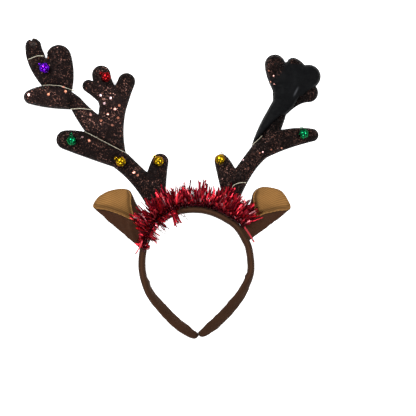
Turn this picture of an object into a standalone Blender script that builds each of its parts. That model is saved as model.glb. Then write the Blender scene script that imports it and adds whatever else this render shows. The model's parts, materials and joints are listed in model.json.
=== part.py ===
"""Reindeer antler headband lying on its back, as seen from above.

The head band is a loop in the XY plane with its crown at the origin and its
two ends meeting at the far side (-Y). +Y points from the crown along the
antlers, and +Z is the front of the headband, away from the surface it lies on.
"""
import math

import bmesh
import bpy
import numpy as np
from mathutils import Matrix, Vector

MM = 0.001
GAP = 0.3 * MM              # air left between two pieces that touch

# Head band: a flat plastic strip covered with cloth
LOOP_HALF = 57.2 * MM       # middle of the loop to the centre line of one leg
LOOP_DROP = 132.0 * MM      # crown to the ends, along the centre line
BAND_DEPTH = 13.0 * MM      # width of the strip, front to rear on the head
BAND_THICK = 6.6 * MM       # thickness of the covered strip
TWIST_LEFT = math.radians(43.0)   # how far the left end lies over
TWIST_RIGHT = math.radians(68.0)  # how far the right end lies over
END_ROUND = 5.0 * MM        # length of the rounded ends
BAND_SIDES = 12             # points round the strip's section
BAND_SQUARE = 0.8           # power of the section's oval, 1 for a true ellipse

# Antlers: two sheets of cloth sewn at the rim and stuffed
ANTLER_REACH = 181.6 * MM   # head's middle line to the widest tip
ANTLER_RISE = 179.3 * MM    # crown of the band to the highest tip
TINE_HALF = 10.0 * MM       # half the width of an ordinary tine
SEAM_LEVEL = 2.6 * MM       # height of the sewn rim
PAD_FRONT = 5.8 * MM        # rise of the front above the seam
PAD_SOFT = 8.5 * MM         # distance from the rim over which the front rises
BACK_SOFT = 4.0 * MM        # distance from the rim over which the back settles
FOLD_LIFT = 2.2 * MM        # extra height where one layer lies over another
FOLD_EDGE = 4.0 * MM        # width of the step at such an edge
THREAD_PINCH = 0.30         # share of the front's rise lost under a thread
THREAD_WIDTH = 2.6 * MM     # half-width of the groove it makes
SHEET_CELL = 3.8 * MM       # size of one facet of the padded sheets

# Ears: a folded cloth cone with a lining
EAR_LONG = 64.0 * MM        # fold from the band to the tip
EAR_WIDE = 43.0 * MM        # mouth from the tip to the far corner
EAR_DEEP = 14.2 * MM        # height of the opened mouth
EAR_CLOTH = 1.0 * MM        # wall of the outer cloth
EAR_LINING = 1.0 * MM       # wall of the lining
EAR_BASE_DEEP = 9.6 * MM    # height of the ear where it meets the band

# Tinsel garland
TINSEL_CORE = 8.4 * MM      # radius of the dense middle at its fattest
TINSEL_SPIKE = 6.5 * MM     # reach of the locks beyond it
TINSEL_STEP = 4.2 * MM      # distance between two rings of locks
TINSEL_SIDES = 12           # points round each ring

# Jingle bells
BELL_RADIUS = 5.4 * MM
BELL_RIM = 0.45 * MM        # how far the rim round the middle stands out
BELL_RIM_HALF = 0.5 * MM    # half the height of that rim
BELL_SLOT = 1.1 * MM        # width of the slot
BELL_LOOP = 1.6 * MM        # radius of the loop's wire circle
BELL_WIRE = 0.45 * MM       # radius of the loop's wire
BELL_LEAN = math.radians(20.0)    # how far the loop dips towards the cloth
BELL_SIDES = 12

# Centre line of the band from the left end over the crown to the right end.
# across: share of LOOP_HALF, down: share of LOOP_DROP, twist: share of the full twist
BAND_ROWS = (
    (0.030, 0.998, 0.86),
    (-0.105, 0.984, 0.95),
    (-0.327, 0.922, 1.00),
    (-0.515, 0.845, 0.96),
    (-0.685, 0.765, 0.80),
    (-0.835, 0.685, 0.50),
    (-0.925, 0.605, 0.20),
    (-0.980, 0.525, 0.00),
    (-1.000, 0.450, 0.00),
    (-0.985, 0.360, 0.00),
    (-0.940, 0.275, 0.00),
    (-0.770, 0.140, 0.00),
    (-0.565, 0.065, 0.00),
    (-0.300, 0.015, 0.00),
    (0.000, 0.000, 0.00),
    (0.280, 0.020, 0.00),
    (0.560, 0.080, 0.00),
    (0.755, 0.150, 0.00),
    (0.915, 0.265, 0.00),
    (0.970, 0.335, 0.00),
    (1.000, 0.450, 0.00),
    (0.985, 0.525, 0.10),
    (0.910, 0.605, 0.35),
    (0.812, 0.685, 0.62),
    (0.668, 0.765, 0.88),
    (0.497, 0.845, 1.00),
    (0.305, 0.922, 1.00),
    (0.125, 0.975, 0.95),
    (0.062, 0.982, 0.90),
)

# One row for each tine, through its root, middle and tip.
# across: share of ANTLER_REACH, up: share of ANTLER_RISE, half: share of TINE_HALF
# layer 1 lies over layer 0
LEFT_TINES = (
    # name, root across, up, half, middle across, up, half, tip across, up, half, layer
    ("seat", 0.150, -0.065, 0.94, 0.195, 0.010, 1.02, 0.235, 0.085, 1.14, 0),
    ("stem", 0.235, 0.085, 1.14, 0.335, 0.185, 0.98, 0.435, 0.280, 1.02, 0),
    ("brow", 0.240, 0.110, 1.12, 0.225, 0.200, 0.96, 0.210, 0.275, 0.88, 0),
    ("low", 0.445, 0.290, 0.98, 0.615, 0.378, 1.26, 0.755, 0.410, 1.00, 0),
    ("palm", 0.455, 0.325, 1.04, 0.490, 0.455, 1.36, 0.485, 0.590, 1.42, 0),
    ("branch", 0.535, 0.430, 1.36, 0.635, 0.535, 1.00, 0.700, 0.625, 0.90, 0),
    ("outer", 0.695, 0.630, 0.92, 0.835, 0.655, 1.18, 0.960, 0.655, 0.74, 1),
    ("heart", 0.805, 0.720, 1.62, 0.797, 0.805, 1.56, 0.798, 0.888, 1.32, 0),
    ("lobe", 0.850, 0.770, 1.20, 0.913, 0.855, 1.00, 0.934, 0.942, 0.96, 0),
    ("finger_low", 0.515, 0.650, 1.00, 0.575, 0.685, 0.70, 0.625, 0.720, 0.66, 0),
    ("finger_middle", 0.500, 0.635, 1.26, 0.535, 0.725, 1.02, 0.545, 0.785, 0.98, 0),
    ("finger_inner", 0.475, 0.595, 1.26, 0.435, 0.675, 1.00, 0.405, 0.745, 0.92, 0),
)
RIGHT_TINES = (
    ("seat", 0.150, -0.060, 0.94, 0.175, 0.015, 1.02, 0.205, 0.105, 1.10, 0),
    ("stem", 0.205, 0.105, 1.10, 0.290, 0.240, 0.90, 0.370, 0.340, 1.00, 0),
    ("brow", 0.205, 0.115, 1.10, 0.174, 0.212, 0.96, 0.145, 0.280, 0.72, 0),
    ("low", 0.370, 0.342, 1.00, 0.505, 0.405, 1.06, 0.670, 0.432, 0.68, 0),
    ("under", 0.385, 0.370, 0.90, 0.445, 0.480, 0.86, 0.478, 0.575, 0.82, 0),
    ("back", 0.490, 0.575, 0.70, 0.570, 0.655, 0.94, 0.650, 0.680, 1.00, 0),
    ("turned", 0.345, 0.330, 0.60, 0.417, 0.490, 0.76, 0.487, 0.610, 0.90, 1),
    ("palm", 0.497, 0.600, 0.94, 0.525, 0.705, 1.50, 0.540, 0.775, 1.58, 1),
    ("lobe_inner", 0.505, 0.720, 1.26, 0.470, 0.790, 1.16, 0.455, 0.845, 1.08, 1),
    ("lobe_corner", 0.590, 0.755, 1.36, 0.575, 0.805, 1.16, 0.560, 0.850, 0.66, 1),
    ("lobe_outer", 0.575, 0.730, 1.36, 0.615, 0.760, 1.36, 0.650, 0.775, 1.26, 1),
)

# Threads wound tightly round a tine, from one rim to the other, as shares
LEFT_THREADS = (
    # from across, up, to across, up
    (0.970, 0.875, 0.883, 0.894),
    (0.887, 0.721, 0.709, 0.691),
    (0.728, 0.583, 0.607, 0.580),
    (0.643, 0.451, 0.397, 0.321),
)
RIGHT_THREADS = (
    (0.327, 0.376, 0.380, 0.426),
    (0.203, 0.118, 0.286, 0.152),
)

# Bells: name, antler, across, up, the loop's direction across and up, metal
BELLS = (
    ("bell_purple", "left", 0.875, 0.824, 0.80, 0.60, "purple"),
    ("bell_red", "left", 0.524, 0.778, 0.80, 0.60, "red"),
    ("bell_green_left", "left", 0.724, 0.402, 0.14, 0.99, "green"),
    ("bell_gold_stem", "left", 0.439, 0.279, 0.84, 0.54, "gold"),
    ("bell_gold_brow_left", "left", 0.219, 0.284, 0.66, 0.75, "gold"),
    ("bell_gold_brow_right", "right", 0.137, 0.287, 0.30, 0.95, "gold"),
    ("bell_green_right", "right", 0.617, 0.437, -0.30, 0.95, "green"),
)

# Ears. seat: share of the band's length where the ear starts and ends.
# rim rows, round the mouth from the tip: out: share of EAR_LONG away from the
# start of the seat, up: share of EAR_WIDE above it, high: share of EAR_DEEP
EARS = {
    "left": {
        "side": -1.0,
        "seat": (0.308, 0.366),
        "rim": (
            (0.820, 1.010, 0.34),
            (0.765, 1.230, 0.05),
            (0.615, 1.390, 0.03),
            (0.435, 1.465, 0.03),
            (0.270, 1.465, 0.04),
            (0.195, 1.365, 0.36),
            (0.190, 1.125, 0.75),
            (0.155, 0.720, 1.00),
            (0.370, 0.835, 0.92),
            (0.600, 0.945, 0.66),
        ),
    },
    "right": {
        "side": 1.0,
        "seat": (0.684, 0.640),
        "rim": (
            (0.720, 0.805, 0.34),
            (0.675, 1.050, 0.05),
            (0.580, 1.240, 0.03),
            (0.450, 1.320, 0.03),
            (0.245, 1.345, 0.04),
            (0.115, 1.210, 0.36),
            (0.110, 0.975, 0.75),
            (0.170, 0.645, 1.00),
            (0.335, 0.700, 0.92),
            (0.530, 0.755, 0.66),
        ),
    },
}
EAR_ROUND = 30              # points round an ear, a multiple of the rim's rows
EAR_SECTIONS = 5            # sections from the band to the rim

# Garland: along: share of the band's length, out: share of TINSEL_CORE away
# from the band's centre line, fat: share of TINSEL_CORE, and what it lies on
TINSEL_ROWS = (
    (0.302, 0.05, 0.36, "band"),
    (0.325, 0.20, 0.70, "band"),
    (0.360, 0.45, 0.95, "band"),
    (0.400, 0.60, 1.00, "band"),
    (0.440, 0.80, 1.00, "band"),
    (0.462, 1.20, 0.95, "band"),
    (0.480, 1.60, 0.90, "band"),
    (0.500, 1.75, 0.90, "surface"),
    (0.520, 1.75, 0.90, "surface"),
    (0.545, 1.65, 1.00, "antler"),
    (0.580, 1.60, 1.00, "antler"),
    (0.600, 1.55, 1.00, "band"),
    (0.620, 1.10, 1.00, "band"),
    (0.645, 0.60, 0.95, "band"),
    (0.668, 0.30, 0.70, "band"),
    (0.686, 0.10, 0.36, "band"),
)

# Colours as linear RGB, with roughness and metallic value
FINISHES = {
    "band_cloth": ((0.052, 0.022, 0.011), 0.85, 0.0),
    "sequin_cloth": ((0.022, 0.014, 0.013), 0.55, 0.1),
    "ear_cloth": ((0.060, 0.026, 0.013), 0.90, 0.0),
    "ear_twill": ((0.340, 0.165, 0.045), 0.85, 0.0),
    "red_foil": ((0.300, 0.004, 0.014), 0.25, 0.9),
    "purple": ((0.200, 0.010, 0.650), 0.20, 1.0),
    "red": ((0.550, 0.010, 0.010), 0.20, 1.0),
    "green": ((0.010, 0.300, 0.080), 0.20, 1.0),
    "gold": ((0.650, 0.420, 0.020), 0.20, 1.0),
}


def clear_scene():
    """Remove every object of the opened scene."""
    for item in list(bpy.data.objects):
        bpy.data.objects.remove(item, do_unlink=True)


def finish_material(name):
    """One plain material from the table of finishes."""
    colour, roughness, metallic = FINISHES[name]
    material = bpy.data.materials.new(name)
    material.use_nodes = True
    shader = material.node_tree.nodes["Principled BSDF"]
    shader.inputs["Base Color"].default_value = (*colour, 1.0)
    shader.inputs["Roughness"].default_value = roughness
    shader.inputs["Metallic"].default_value = metallic
    return material


def object_from_bmesh(name, bm, material, collection):
    """Turn a bmesh into a named object with one material."""
    mesh = bpy.data.meshes.new(name)
    bm.to_mesh(mesh)
    bm.free()
    mesh.materials.append(material)
    mesh.shade_smooth()
    mesh.set_sharp_from_angle(angle=math.radians(40.0))
    item = bpy.data.objects.new(name, mesh)
    collection.objects.link(item)
    return item


def smooth_through(rows, steps, closed=False):
    """Points of a Catmull-Rom curve through the rows, steps to each span."""
    rows = np.asarray(rows, dtype=float)
    count = len(rows)
    spans = count if closed else count - 1
    t = np.linspace(0.0, 1.0, steps, endpoint=False)[:, None]
    points = []
    for i in range(spans):
        if closed:
            a, b, c, d = (rows[(i + k) % count] for k in (-1, 0, 1, 2))
        else:
            b, c = rows[i], rows[i + 1]
            a = rows[i - 1] if i > 0 else 2.0 * b - c
            d = rows[i + 2] if i + 2 < count else 2.0 * c - b
        points.append(
            b
            + 0.5 * t * (c - a)
            + t**2 * (a - 2.5 * b + 2.0 * c - 0.5 * d)
            + t**3 * (1.5 * b - 1.5 * c + 0.5 * d - 0.5 * a)
        )
    if not closed:
        points.append(rows[-1:])
    return np.vstack(points)


def along(points, shares):
    """Rows of a dense curve at the given shares of its length in plan."""
    lengths = np.linalg.norm(np.diff(points[:, :2], axis=0), axis=1)
    run = np.concatenate(([0.0], np.cumsum(lengths)))
    run /= run[-1]
    return np.column_stack([np.interp(shares, run, column) for column in points.T])


def band_line():
    """Dense centre line of the band: x, y and twist in radians."""
    rows = np.array(BAND_ROWS)
    line = smooth_through(rows, 14)
    full = np.where(line[:, 0] < 0.03, TWIST_LEFT, TWIST_RIGHT)
    return np.column_stack((
        line[:, 0] * LOOP_HALF,
        -line[:, 1] * LOOP_DROP,
        np.clip(line[:, 2], 0.0, 1.0) * full,
    ))


BAND_LINE = band_line()
BAND_LENGTH = float(np.linalg.norm(np.diff(BAND_LINE[:, :2], axis=0), axis=1).sum())


def band_place(share):
    """Point on the centre line and the outward direction there."""
    step = 0.004
    before, here, after = along(BAND_LINE, [share - step, share, share + step])[:, :2]
    way = (after - before) / np.linalg.norm(after - before)
    return here, np.array((-way[1], way[0]))


def distance_outside_band(points):
    """Distance in plan from the band's centre line, negative inside the loop."""
    start = BAND_LINE[:-1, :2]
    edge = BAND_LINE[1:, :2] - start
    best = np.full(len(points), np.inf)
    signed = best.copy()
    for a, e in zip(start, edge):
        t = np.clip(((points - a) @ e) / (e @ e), 0.0, 1.0)
        away = points - a - t[:, None] * e
        distance = np.linalg.norm(away, axis=1)
        side = np.sign(away[:, 1] * e[0] - away[:, 0] * e[1])
        signed = np.where(distance < best, distance * side, signed)
        best = np.minimum(best, distance)
    return signed


def loft(name, rings, material, collection, capped=True):
    """Skin a run of closed rings of equal count, outside facing out."""
    bm = bmesh.new()
    grid = [[bm.verts.new(point) for point in ring] for ring in rings]
    count = len(grid[0])
    for low, high in zip(grid, grid[1:]):
        for i in range(count):
            j = (i + 1) % count
            bm.faces.new((low[i], low[j], high[j], high[i]))
    if capped:
        bm.faces.new(grid[0][::-1])
        bm.faces.new(grid[-1])
    bmesh.ops.recalc_face_normals(bm, faces=bm.faces)
    return object_from_bmesh(name, bm, material, collection)


def build_band(material, collection):
    """Oval strip carried along the loop, its lowest facet on the surface."""
    angle = (np.arange(BAND_SIDES) + 0.5) * 2.0 * math.pi / BAND_SIDES
    across, up = np.cos(angle), np.sin(angle)
    thin = np.sign(across) * np.abs(across) ** BAND_SQUARE * BAND_THICK / 2.0
    deep = np.sign(up) * np.abs(up) ** BAND_SQUARE * BAND_DEPTH / 2.0
    ends = END_ROUND / BAND_LENGTH
    tip = ends * np.array((0.02, 0.12, 0.35, 0.65))
    shares = np.concatenate((tip, np.linspace(ends, 1.0 - ends, 58), 1.0 - tip[::-1]))
    rows = along(BAND_LINE, shares)
    rings = []
    for share, (x, y, twist) in zip(shares, rows):
        inside = min(share, 1.0 - share) / ends
        size = math.sqrt(max(0.0, 1.0 - max(0.0, 1.0 - inside) ** 2))
        outward = band_place(min(max(share, 0.004), 0.996))[1]
        lean = -twist if x < 0.0 else twist
        flat = size * (thin * math.cos(lean) - deep * math.sin(lean))
        high = size * (thin * math.sin(lean) + deep * math.cos(lean))
        rings.append([
            (x + outward[0] * f, y + outward[1] * f, h)
            for f, h in zip(flat, high - high.min())
        ])
    return loft("band", rings, material, collection)


def tine_discs(rows, side, layers=(0, 1)):
    """Discs that fill the tines: x, y and radius, on a parabola through each row."""
    t = np.linspace(0.0, 1.0, 22)[:, None]
    weights = np.hstack(((2 * t - 1) * (t - 1), 4 * t * (1 - t), t * (2 * t - 1)))
    scale = np.array((side * ANTLER_REACH, ANTLER_RISE, TINE_HALF))
    discs = [
        weights @ (np.array(row[1:10]).reshape(3, 3) * scale)
        for row in rows
        if row[10] in layers
    ]
    return np.vstack(discs)


def rim_depth(points, discs):
    """How far inside the union of discs each point lies, clear of the band."""
    away = np.linalg.norm(points[:, None, :] - discs[None, :, :2], axis=2)
    inside = (discs[None, :, 2] - away).max(axis=1)
    return np.minimum(inside, distance_outside_band(points) - BAND_THICK / 2.0 - GAP)


class Antler:
    """The plan and the padded height of one antler."""

    def __init__(self, rows, threads, side):
        self.side = side
        self.discs = tine_discs(rows, side)
        self.upper = tine_discs(rows, side, layers=(1,))
        scale = np.array((side * ANTLER_REACH, ANTLER_RISE))
        self.threads = [
            (np.array(row[:2]) * scale, np.array(row[2:]) * scale) for row in threads
        ]

    def depth(self, points):
        return rim_depth(points, self.discs)

    def front(self, points):
        """Height of the front: a quarter ellipse from the rim, raised where a
        layer lies over another and pinched under each wound thread."""
        depth = np.maximum(self.depth(points), MM)
        rise = np.sqrt(1.0 - (1.0 - np.minimum(depth / PAD_SOFT, 1.0)) ** 2)
        for start, end in self.threads:
            run = end - start
            t = np.clip(((points - start) @ run) / (run @ run), 0.0, 1.0)
            off = np.linalg.norm(points - start - t[:, None] * run, axis=1)
            rise = rise * (1.0 - THREAD_PINCH * np.exp(-((off / THREAD_WIDTH) ** 2)))
        over = np.clip(rim_depth(points, self.upper) / FOLD_EDGE, 0.0, 1.0)
        edge = np.clip(depth / PAD_SOFT, 0.0, 1.0)
        return SEAM_LEVEL + PAD_FRONT * rise + FOLD_LIFT * over * edge

    def back(self, points):
        """Height of the back: rounded up to the seam, flat where it rests."""
        depth = np.clip(np.maximum(self.depth(points), MM) / BACK_SOFT, 0.0, 1.0)
        return SEAM_LEVEL * (1.0 - np.sqrt(1.0 - (1.0 - depth) ** 2))


def build_antler(name, antler, material, collection):
    """A grid trimmed to the outline, doubled, padded and closed at the rim."""
    low = (antler.discs[:, :2] - antler.discs[:, 2:]).min(axis=0) - SHEET_CELL
    high = (antler.discs[:, :2] + antler.discs[:, 2:]).max(axis=0) + SHEET_CELL
    cells = np.ceil((high - low) / SHEET_CELL).astype(int)
    middle = (low + high) / 2.0
    half = cells * SHEET_CELL / 2.0
    place = Matrix.Translation((*middle, 0.0)) @ Matrix.Diagonal((*half, 1.0, 1.0))
    bm = bmesh.new()
    bmesh.ops.create_grid(
        bm, x_segments=int(cells[0]), y_segments=int(cells[1]), size=1.0, matrix=place
    )
    centres = np.array([face.calc_center_median()[:2] for face in bm.faces])
    keep = antler.depth(centres) > 0.0
    outside = [face for face, kept in zip(bm.faces, keep) if not kept]
    bmesh.ops.delete(bm, geom=outside, context="FACES")
    for _ in range(2):
        drop_corner_touches(bm)
        snap_rim(bm, antler)
        bmesh.ops.remove_doubles(bm, verts=bm.verts, dist=SHEET_CELL / 8.0)
    drop_corner_touches(bm)
    bmesh.ops.smooth_vert(
        bm,
        verts=[vert for vert in bm.verts if not vert.is_boundary],
        factor=0.5,
        use_axis_x=True,
        use_axis_y=True,
    )
    bmesh.ops.triangulate(bm, faces=bm.faces, quad_method="BEAUTY")
    spans = [
        edge
        for edge in bm.edges
        if not edge.is_boundary and all(vert.is_boundary for vert in edge.verts)
    ]
    bmesh.ops.subdivide_edges(bm, edges=spans, cuts=1)
    rim = [vert.is_boundary for vert in bm.verts]
    plan = np.array([vert.co[:2] for vert in bm.verts])
    front = np.where(rim, SEAM_LEVEL, antler.front(plan))
    back = np.where(rim, SEAM_LEVEL, antler.back(plan))
    upper = list(bm.verts)
    bm.normal_update()
    for face in bm.faces:
        if face.normal.z < 0.0:
            face.normal_flip()
    order = {vert: i for i, vert in enumerate(upper)}
    copied = bmesh.ops.duplicate(bm, geom=list(bm.verts) + list(bm.edges) + list(bm.faces))
    lower = copied["vert_map"]
    faces = [part for part in copied["geom"] if isinstance(part, bmesh.types.BMFace)]
    bmesh.ops.reverse_faces(bm, faces=faces)
    for vert in upper:
        i = order[vert]
        lower[vert].co.z = back[i]
        vert.co.z = front[i]
    sewn = {lower[vert]: vert for vert in upper if rim[order[vert]]}
    bmesh.ops.weld_verts(bm, targetmap=sewn)
    return object_from_bmesh(name, bm, material, collection)


def drop_corner_touches(bm):
    """Delete a face wherever two faces meet only at a corner."""
    for _ in range(6):
        touches = [
            vert
            for vert in bm.verts
            if sum(edge.is_boundary for edge in vert.link_edges) > 2
        ]
        if not touches:
            return
        faces = {min(vert.link_faces, key=lambda face: face.index) for vert in touches}
        bmesh.ops.delete(bm, geom=list(faces), context="FACES")
        bm.faces.index_update()


def snap_rim(bm, antler):
    """Move the rim's points onto the outline, down the slope of the depth."""
    rim = [vert for vert in bm.verts if vert.is_boundary]
    plan = np.array([vert.co[:2] for vert in rim])
    nudge = 0.05 * MM
    for _ in range(6):
        depth = antler.depth(plan)
        slope = np.column_stack([
            (antler.depth(plan + step) - antler.depth(plan - step)) / (2.0 * nudge)
            for step in (np.array((nudge, 0.0)), np.array((0.0, nudge)))
        ])
        steep = np.maximum((slope**2).sum(axis=1), 0.25)
        plan = plan - slope * (depth / steep)[:, None]
    for vert, (x, y) in zip(rim, plan):
        vert.co.x = x
        vert.co.y = y


def ear_surface(ear, inset):
    """Rings from the seat on the band to the rim of the mouth.

    The outer skin is ruled between an upright oval on the band's face and the
    rim's smooth loop; the rings are then moved inwards by inset.
    """
    start, end = ear["seat"]
    anchor = band_place(start)[0]
    rim = np.array(ear["rim"]) * (EAR_LONG, EAR_WIDE, EAR_DEEP)
    rim[:, 0] *= ear["side"]
    rim[:, 2] += GAP
    rim[:, :2] += anchor
    mouth = smooth_through(rim, EAR_ROUND // len(rim), closed=True)
    turn = np.linspace(0.0, 2.0 * math.pi, EAR_ROUND, endpoint=False)
    share = start + (end - start) * (1.0 - np.cos(turn)) / 2.0
    high = EAR_BASE_DEEP / 2.0 * (1.0 - np.sin(turn)) + GAP
    places = [band_place(s) for s in share]
    facing = np.array([np.append(outward, 0.0) for _, outward in places])
    seat = np.column_stack((np.array([here for here, _ in places]), high))
    seat += facing * (BAND_THICK / 2.0 + GAP)
    blend = np.linspace(0.0, 1.0, EAR_SECTIONS)[:, None, None]
    skin = seat[None] * (1.0 - blend) + mouth[None] * blend
    ring = np.roll(skin, -1, axis=1) - np.roll(skin, 1, axis=1)
    rise = np.gradient(skin, axis=0)
    normal = np.cross(ring, rise)
    normal[0] -= facing * (normal[0] * facing).sum(axis=1, keepdims=True)
    normal /= np.linalg.norm(normal, axis=2, keepdims=True)
    outward = skin - skin.mean(axis=1, keepdims=True)
    normal *= np.sign((normal * outward).sum())
    return skin - normal * inset


def build_ear(name, ear, inset, wall, material, collection):
    """A wall of cloth between two skins of the folded ear."""
    outer = ear_surface(ear, inset)
    inner = ear_surface(ear, inset + wall)
    bm = bmesh.new()
    skins = [
        [[bm.verts.new(point) for point in ring] for ring in skin]
        for skin in (outer, inner)
    ]
    count = EAR_ROUND
    for i in range(count):
        j = (i + 1) % count
        for skin in skins:
            for low, high in zip(skin, skin[1:]):
                bm.faces.new((low[i], low[j], high[j], high[i]))
        for row in (0, -1):
            bm.faces.new((skins[0][row][i], skins[0][row][j], skins[1][row][j], skins[1][row][i]))
    bmesh.ops.recalc_face_normals(bm, faces=bm.faces)
    bmesh.ops.triangulate(bm, faces=bm.faces, quad_method="SHORT_EDGE")
    return object_from_bmesh(name, bm, material, collection)


def build_tinsel(material, collection):
    """Rope of foil locks: rings whose outer and upper points stand out in turn."""
    below = {
        "band": BAND_DEPTH,
        "antler": SEAM_LEVEL + PAD_FRONT,
        "surface": (SEAM_LEVEL + PAD_FRONT) / 2.0,
    }
    rows = smooth_through([(*row[:3], below[row[3]]) for row in TINSEL_ROWS], 12)
    first, last = TINSEL_ROWS[0][0], TINSEL_ROWS[-1][0]
    count = int((last - first) * BAND_LENGTH / TINSEL_STEP)
    chance = np.random.default_rng(7)
    angle = np.arange(TINSEL_SIDES) * 2.0 * math.pi / TINSEL_SIDES
    rings = []
    for k in range(count + 1):
        share = first + (last - first) * k / count
        out, fat, floor = (np.interp(share, rows[:, 0], rows[:, c]) for c in (1, 2, 3))
        here, outward = band_place(share)
        radius = TINSEL_CORE * fat
        ending = min(k, count - k, 3) / 3.0
        spike = TINSEL_SPIKE * ending * chance.uniform(0.35, 1.0, TINSEL_SIDES)
        spike = spike * ((np.arange(TINSEL_SIDES) + k) % 2)
        middle = here + outward * TINSEL_CORE * out
        level = floor + GAP + radius
        clear = np.where(np.cos(angle) > 0.1, np.sin(angle) > -0.45, False)
        clear |= level + (radius + TINSEL_SPIKE) * np.sin(angle) > BAND_DEPTH + GAP
        spike = np.where(clear, spike, 0.0)
        reach = radius * (0.75 + 0.25 * ending) + spike
        rings.append([
            (
                middle[0] + outward[0] * r * math.cos(a),
                middle[1] + outward[1] * r * math.cos(a),
                level + r * math.sin(a),
            )
            for r, a in zip(reach, angle)
        ])
    return loft("tinsel_garland", rings, material, collection)


def bell_mesh(name, material, collection, cutters):
    """Turned ball with a rim, a wire loop on top and a slot below."""
    polar = np.radians((0.0, 24.0, 48.0, 70.0))
    upper = [(BELL_RADIUS * math.sin(p), BELL_RADIUS * math.cos(p)) for p in polar]
    upper.append((BELL_RADIUS + BELL_RIM, BELL_RIM_HALF))
    profile = upper + [(r, -z) for r, z in reversed(upper)]
    mesh = bpy.data.meshes.new(name)
    points = [(r, 0.0, z) for r, z in profile]
    mesh.from_pydata(points, [(i, i + 1) for i in range(len(points) - 1)], [])
    ball = bpy.data.objects.new(name, mesh)
    collection.objects.link(ball)
    turn = ball.modifiers.new("turned", "SCREW")
    turn.steps = BELL_SIDES
    turn.render_steps = BELL_SIDES
    turn.use_merge_vertices = True
    turn.merge_threshold = 0.0001
    bpy.ops.mesh.primitive_torus_add(
        major_segments=8,
        minor_segments=5,
        major_radius=BELL_LOOP - BELL_WIRE,
        minor_radius=BELL_WIRE,
        location=(0.0, 0.0, BELL_RADIUS + BELL_LOOP - 2.0 * BELL_WIRE),
        rotation=(math.pi / 2.0, 0.0, 0.0),
    )
    loop = move_to(bpy.context.object, cutters, name + "_loop")
    bpy.ops.mesh.primitive_cube_add(size=1.0)
    slot = move_to(bpy.context.object, cutters, name + "_slot")
    slot.data.transform(
        Matrix.Translation((0.0, 0.0, -BELL_RADIUS))
        @ Matrix.Diagonal((4.0 * BELL_RADIUS, BELL_SLOT, BELL_RADIUS * 1.1, 1.0))
    )
    for tool, operation in ((loop, "UNION"), (slot, "DIFFERENCE")):
        cut = ball.modifiers.new(operation.lower(), "BOOLEAN")
        cut.operation = operation
        cut.object = tool
    graph = bpy.context.evaluated_depsgraph_get()
    finished = bpy.data.meshes.new_from_object(ball.evaluated_get(graph))
    bpy.data.objects.remove(ball, do_unlink=True)
    finished.materials.clear()
    finished.materials.append(material)
    finished.shade_smooth()
    finished.set_sharp_from_angle(angle=math.radians(35.0))
    return finished


def move_to(item, collection, name):
    """Rename a cutter and keep it only in the collection of cutters."""
    for owner in list(item.users_collection):
        owner.objects.unlink(item)
    collection.objects.link(item)
    item.name = name
    item.hide_render = True
    item.display_type = "WIRE"
    return item


def place_bell(row, antler, mesh, material, collection):
    """Seat a bell on the antler's front, its loop leaning to the cloth."""
    name, _, across, up, loop_across, loop_up, _ = row
    size = BELL_RADIUS + BELL_RIM
    centre = np.array((antler.side * across * ANTLER_REACH, up * ANTLER_RISE))
    ring = np.linspace(0.0, 2.0 * math.pi, 24, endpoint=False)
    spots = np.vstack([
        centre + r * np.column_stack((np.cos(ring), np.sin(ring)))
        for r in np.linspace(0.0, size, 7)
    ])
    off = np.linalg.norm(spots - centre, axis=1)
    level = (antler.front(spots) + np.sqrt(np.maximum(size**2 - off**2, 0.0))).max() + GAP
    loop_way = Vector((antler.side * loop_across, loop_up, 0.0)).normalized()
    axis = loop_way * math.cos(BELL_LEAN) - Vector((0.0, 0.0, math.sin(BELL_LEAN)))
    bell = bpy.data.objects.new(name, mesh.copy())
    bell.data.materials.clear()
    bell.data.materials.append(material)
    collection.objects.link(bell)
    bell.location = (*centre, level)
    bell.rotation_mode = "QUATERNION"
    bell.rotation_quaternion = axis.to_track_quat("Z", "Y")
    return bell


def main():
    clear_scene()
    parts = bpy.data.collections.new("reindeer_antler_headband")
    cutters = bpy.data.collections.new("cutters")
    for group in (parts, cutters):
        bpy.context.scene.collection.children.link(group)
    looks = {name: finish_material(name) for name in FINISHES}
    build_band(looks["band_cloth"], parts)
    antlers = {
        "left": Antler(LEFT_TINES, LEFT_THREADS, -1.0),
        "right": Antler(RIGHT_TINES, RIGHT_THREADS, 1.0),
    }
    for side, antler in antlers.items():
        build_antler("antler_" + side, antler, looks["sequin_cloth"], parts)
    for side, ear in EARS.items():
        build_ear("ear_outer_" + side, ear, 0.0, EAR_CLOTH, looks["ear_cloth"], parts)
        inset = EAR_CLOTH + GAP
        build_ear("ear_lining_" + side, ear, inset, EAR_LINING, looks["ear_twill"], parts)
    build_tinsel(looks["red_foil"], parts)
    bell = bell_mesh("bell_blank", looks["gold"], parts, cutters)
    for row in BELLS:
        place_bell(row, antlers[row[1]], bell, looks[row[6]], parts)


main()
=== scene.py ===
"""Looks of a reindeer antler headband that lies on its back.

All lengths are in metres in the part's own frame: the crown of the band is at
the origin, +Y runs from it along the antlers, and +Z points away from the floor.
"""
import json
import math

import bpy
import numpy as np
from mathutils import Matrix, Vector

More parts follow.
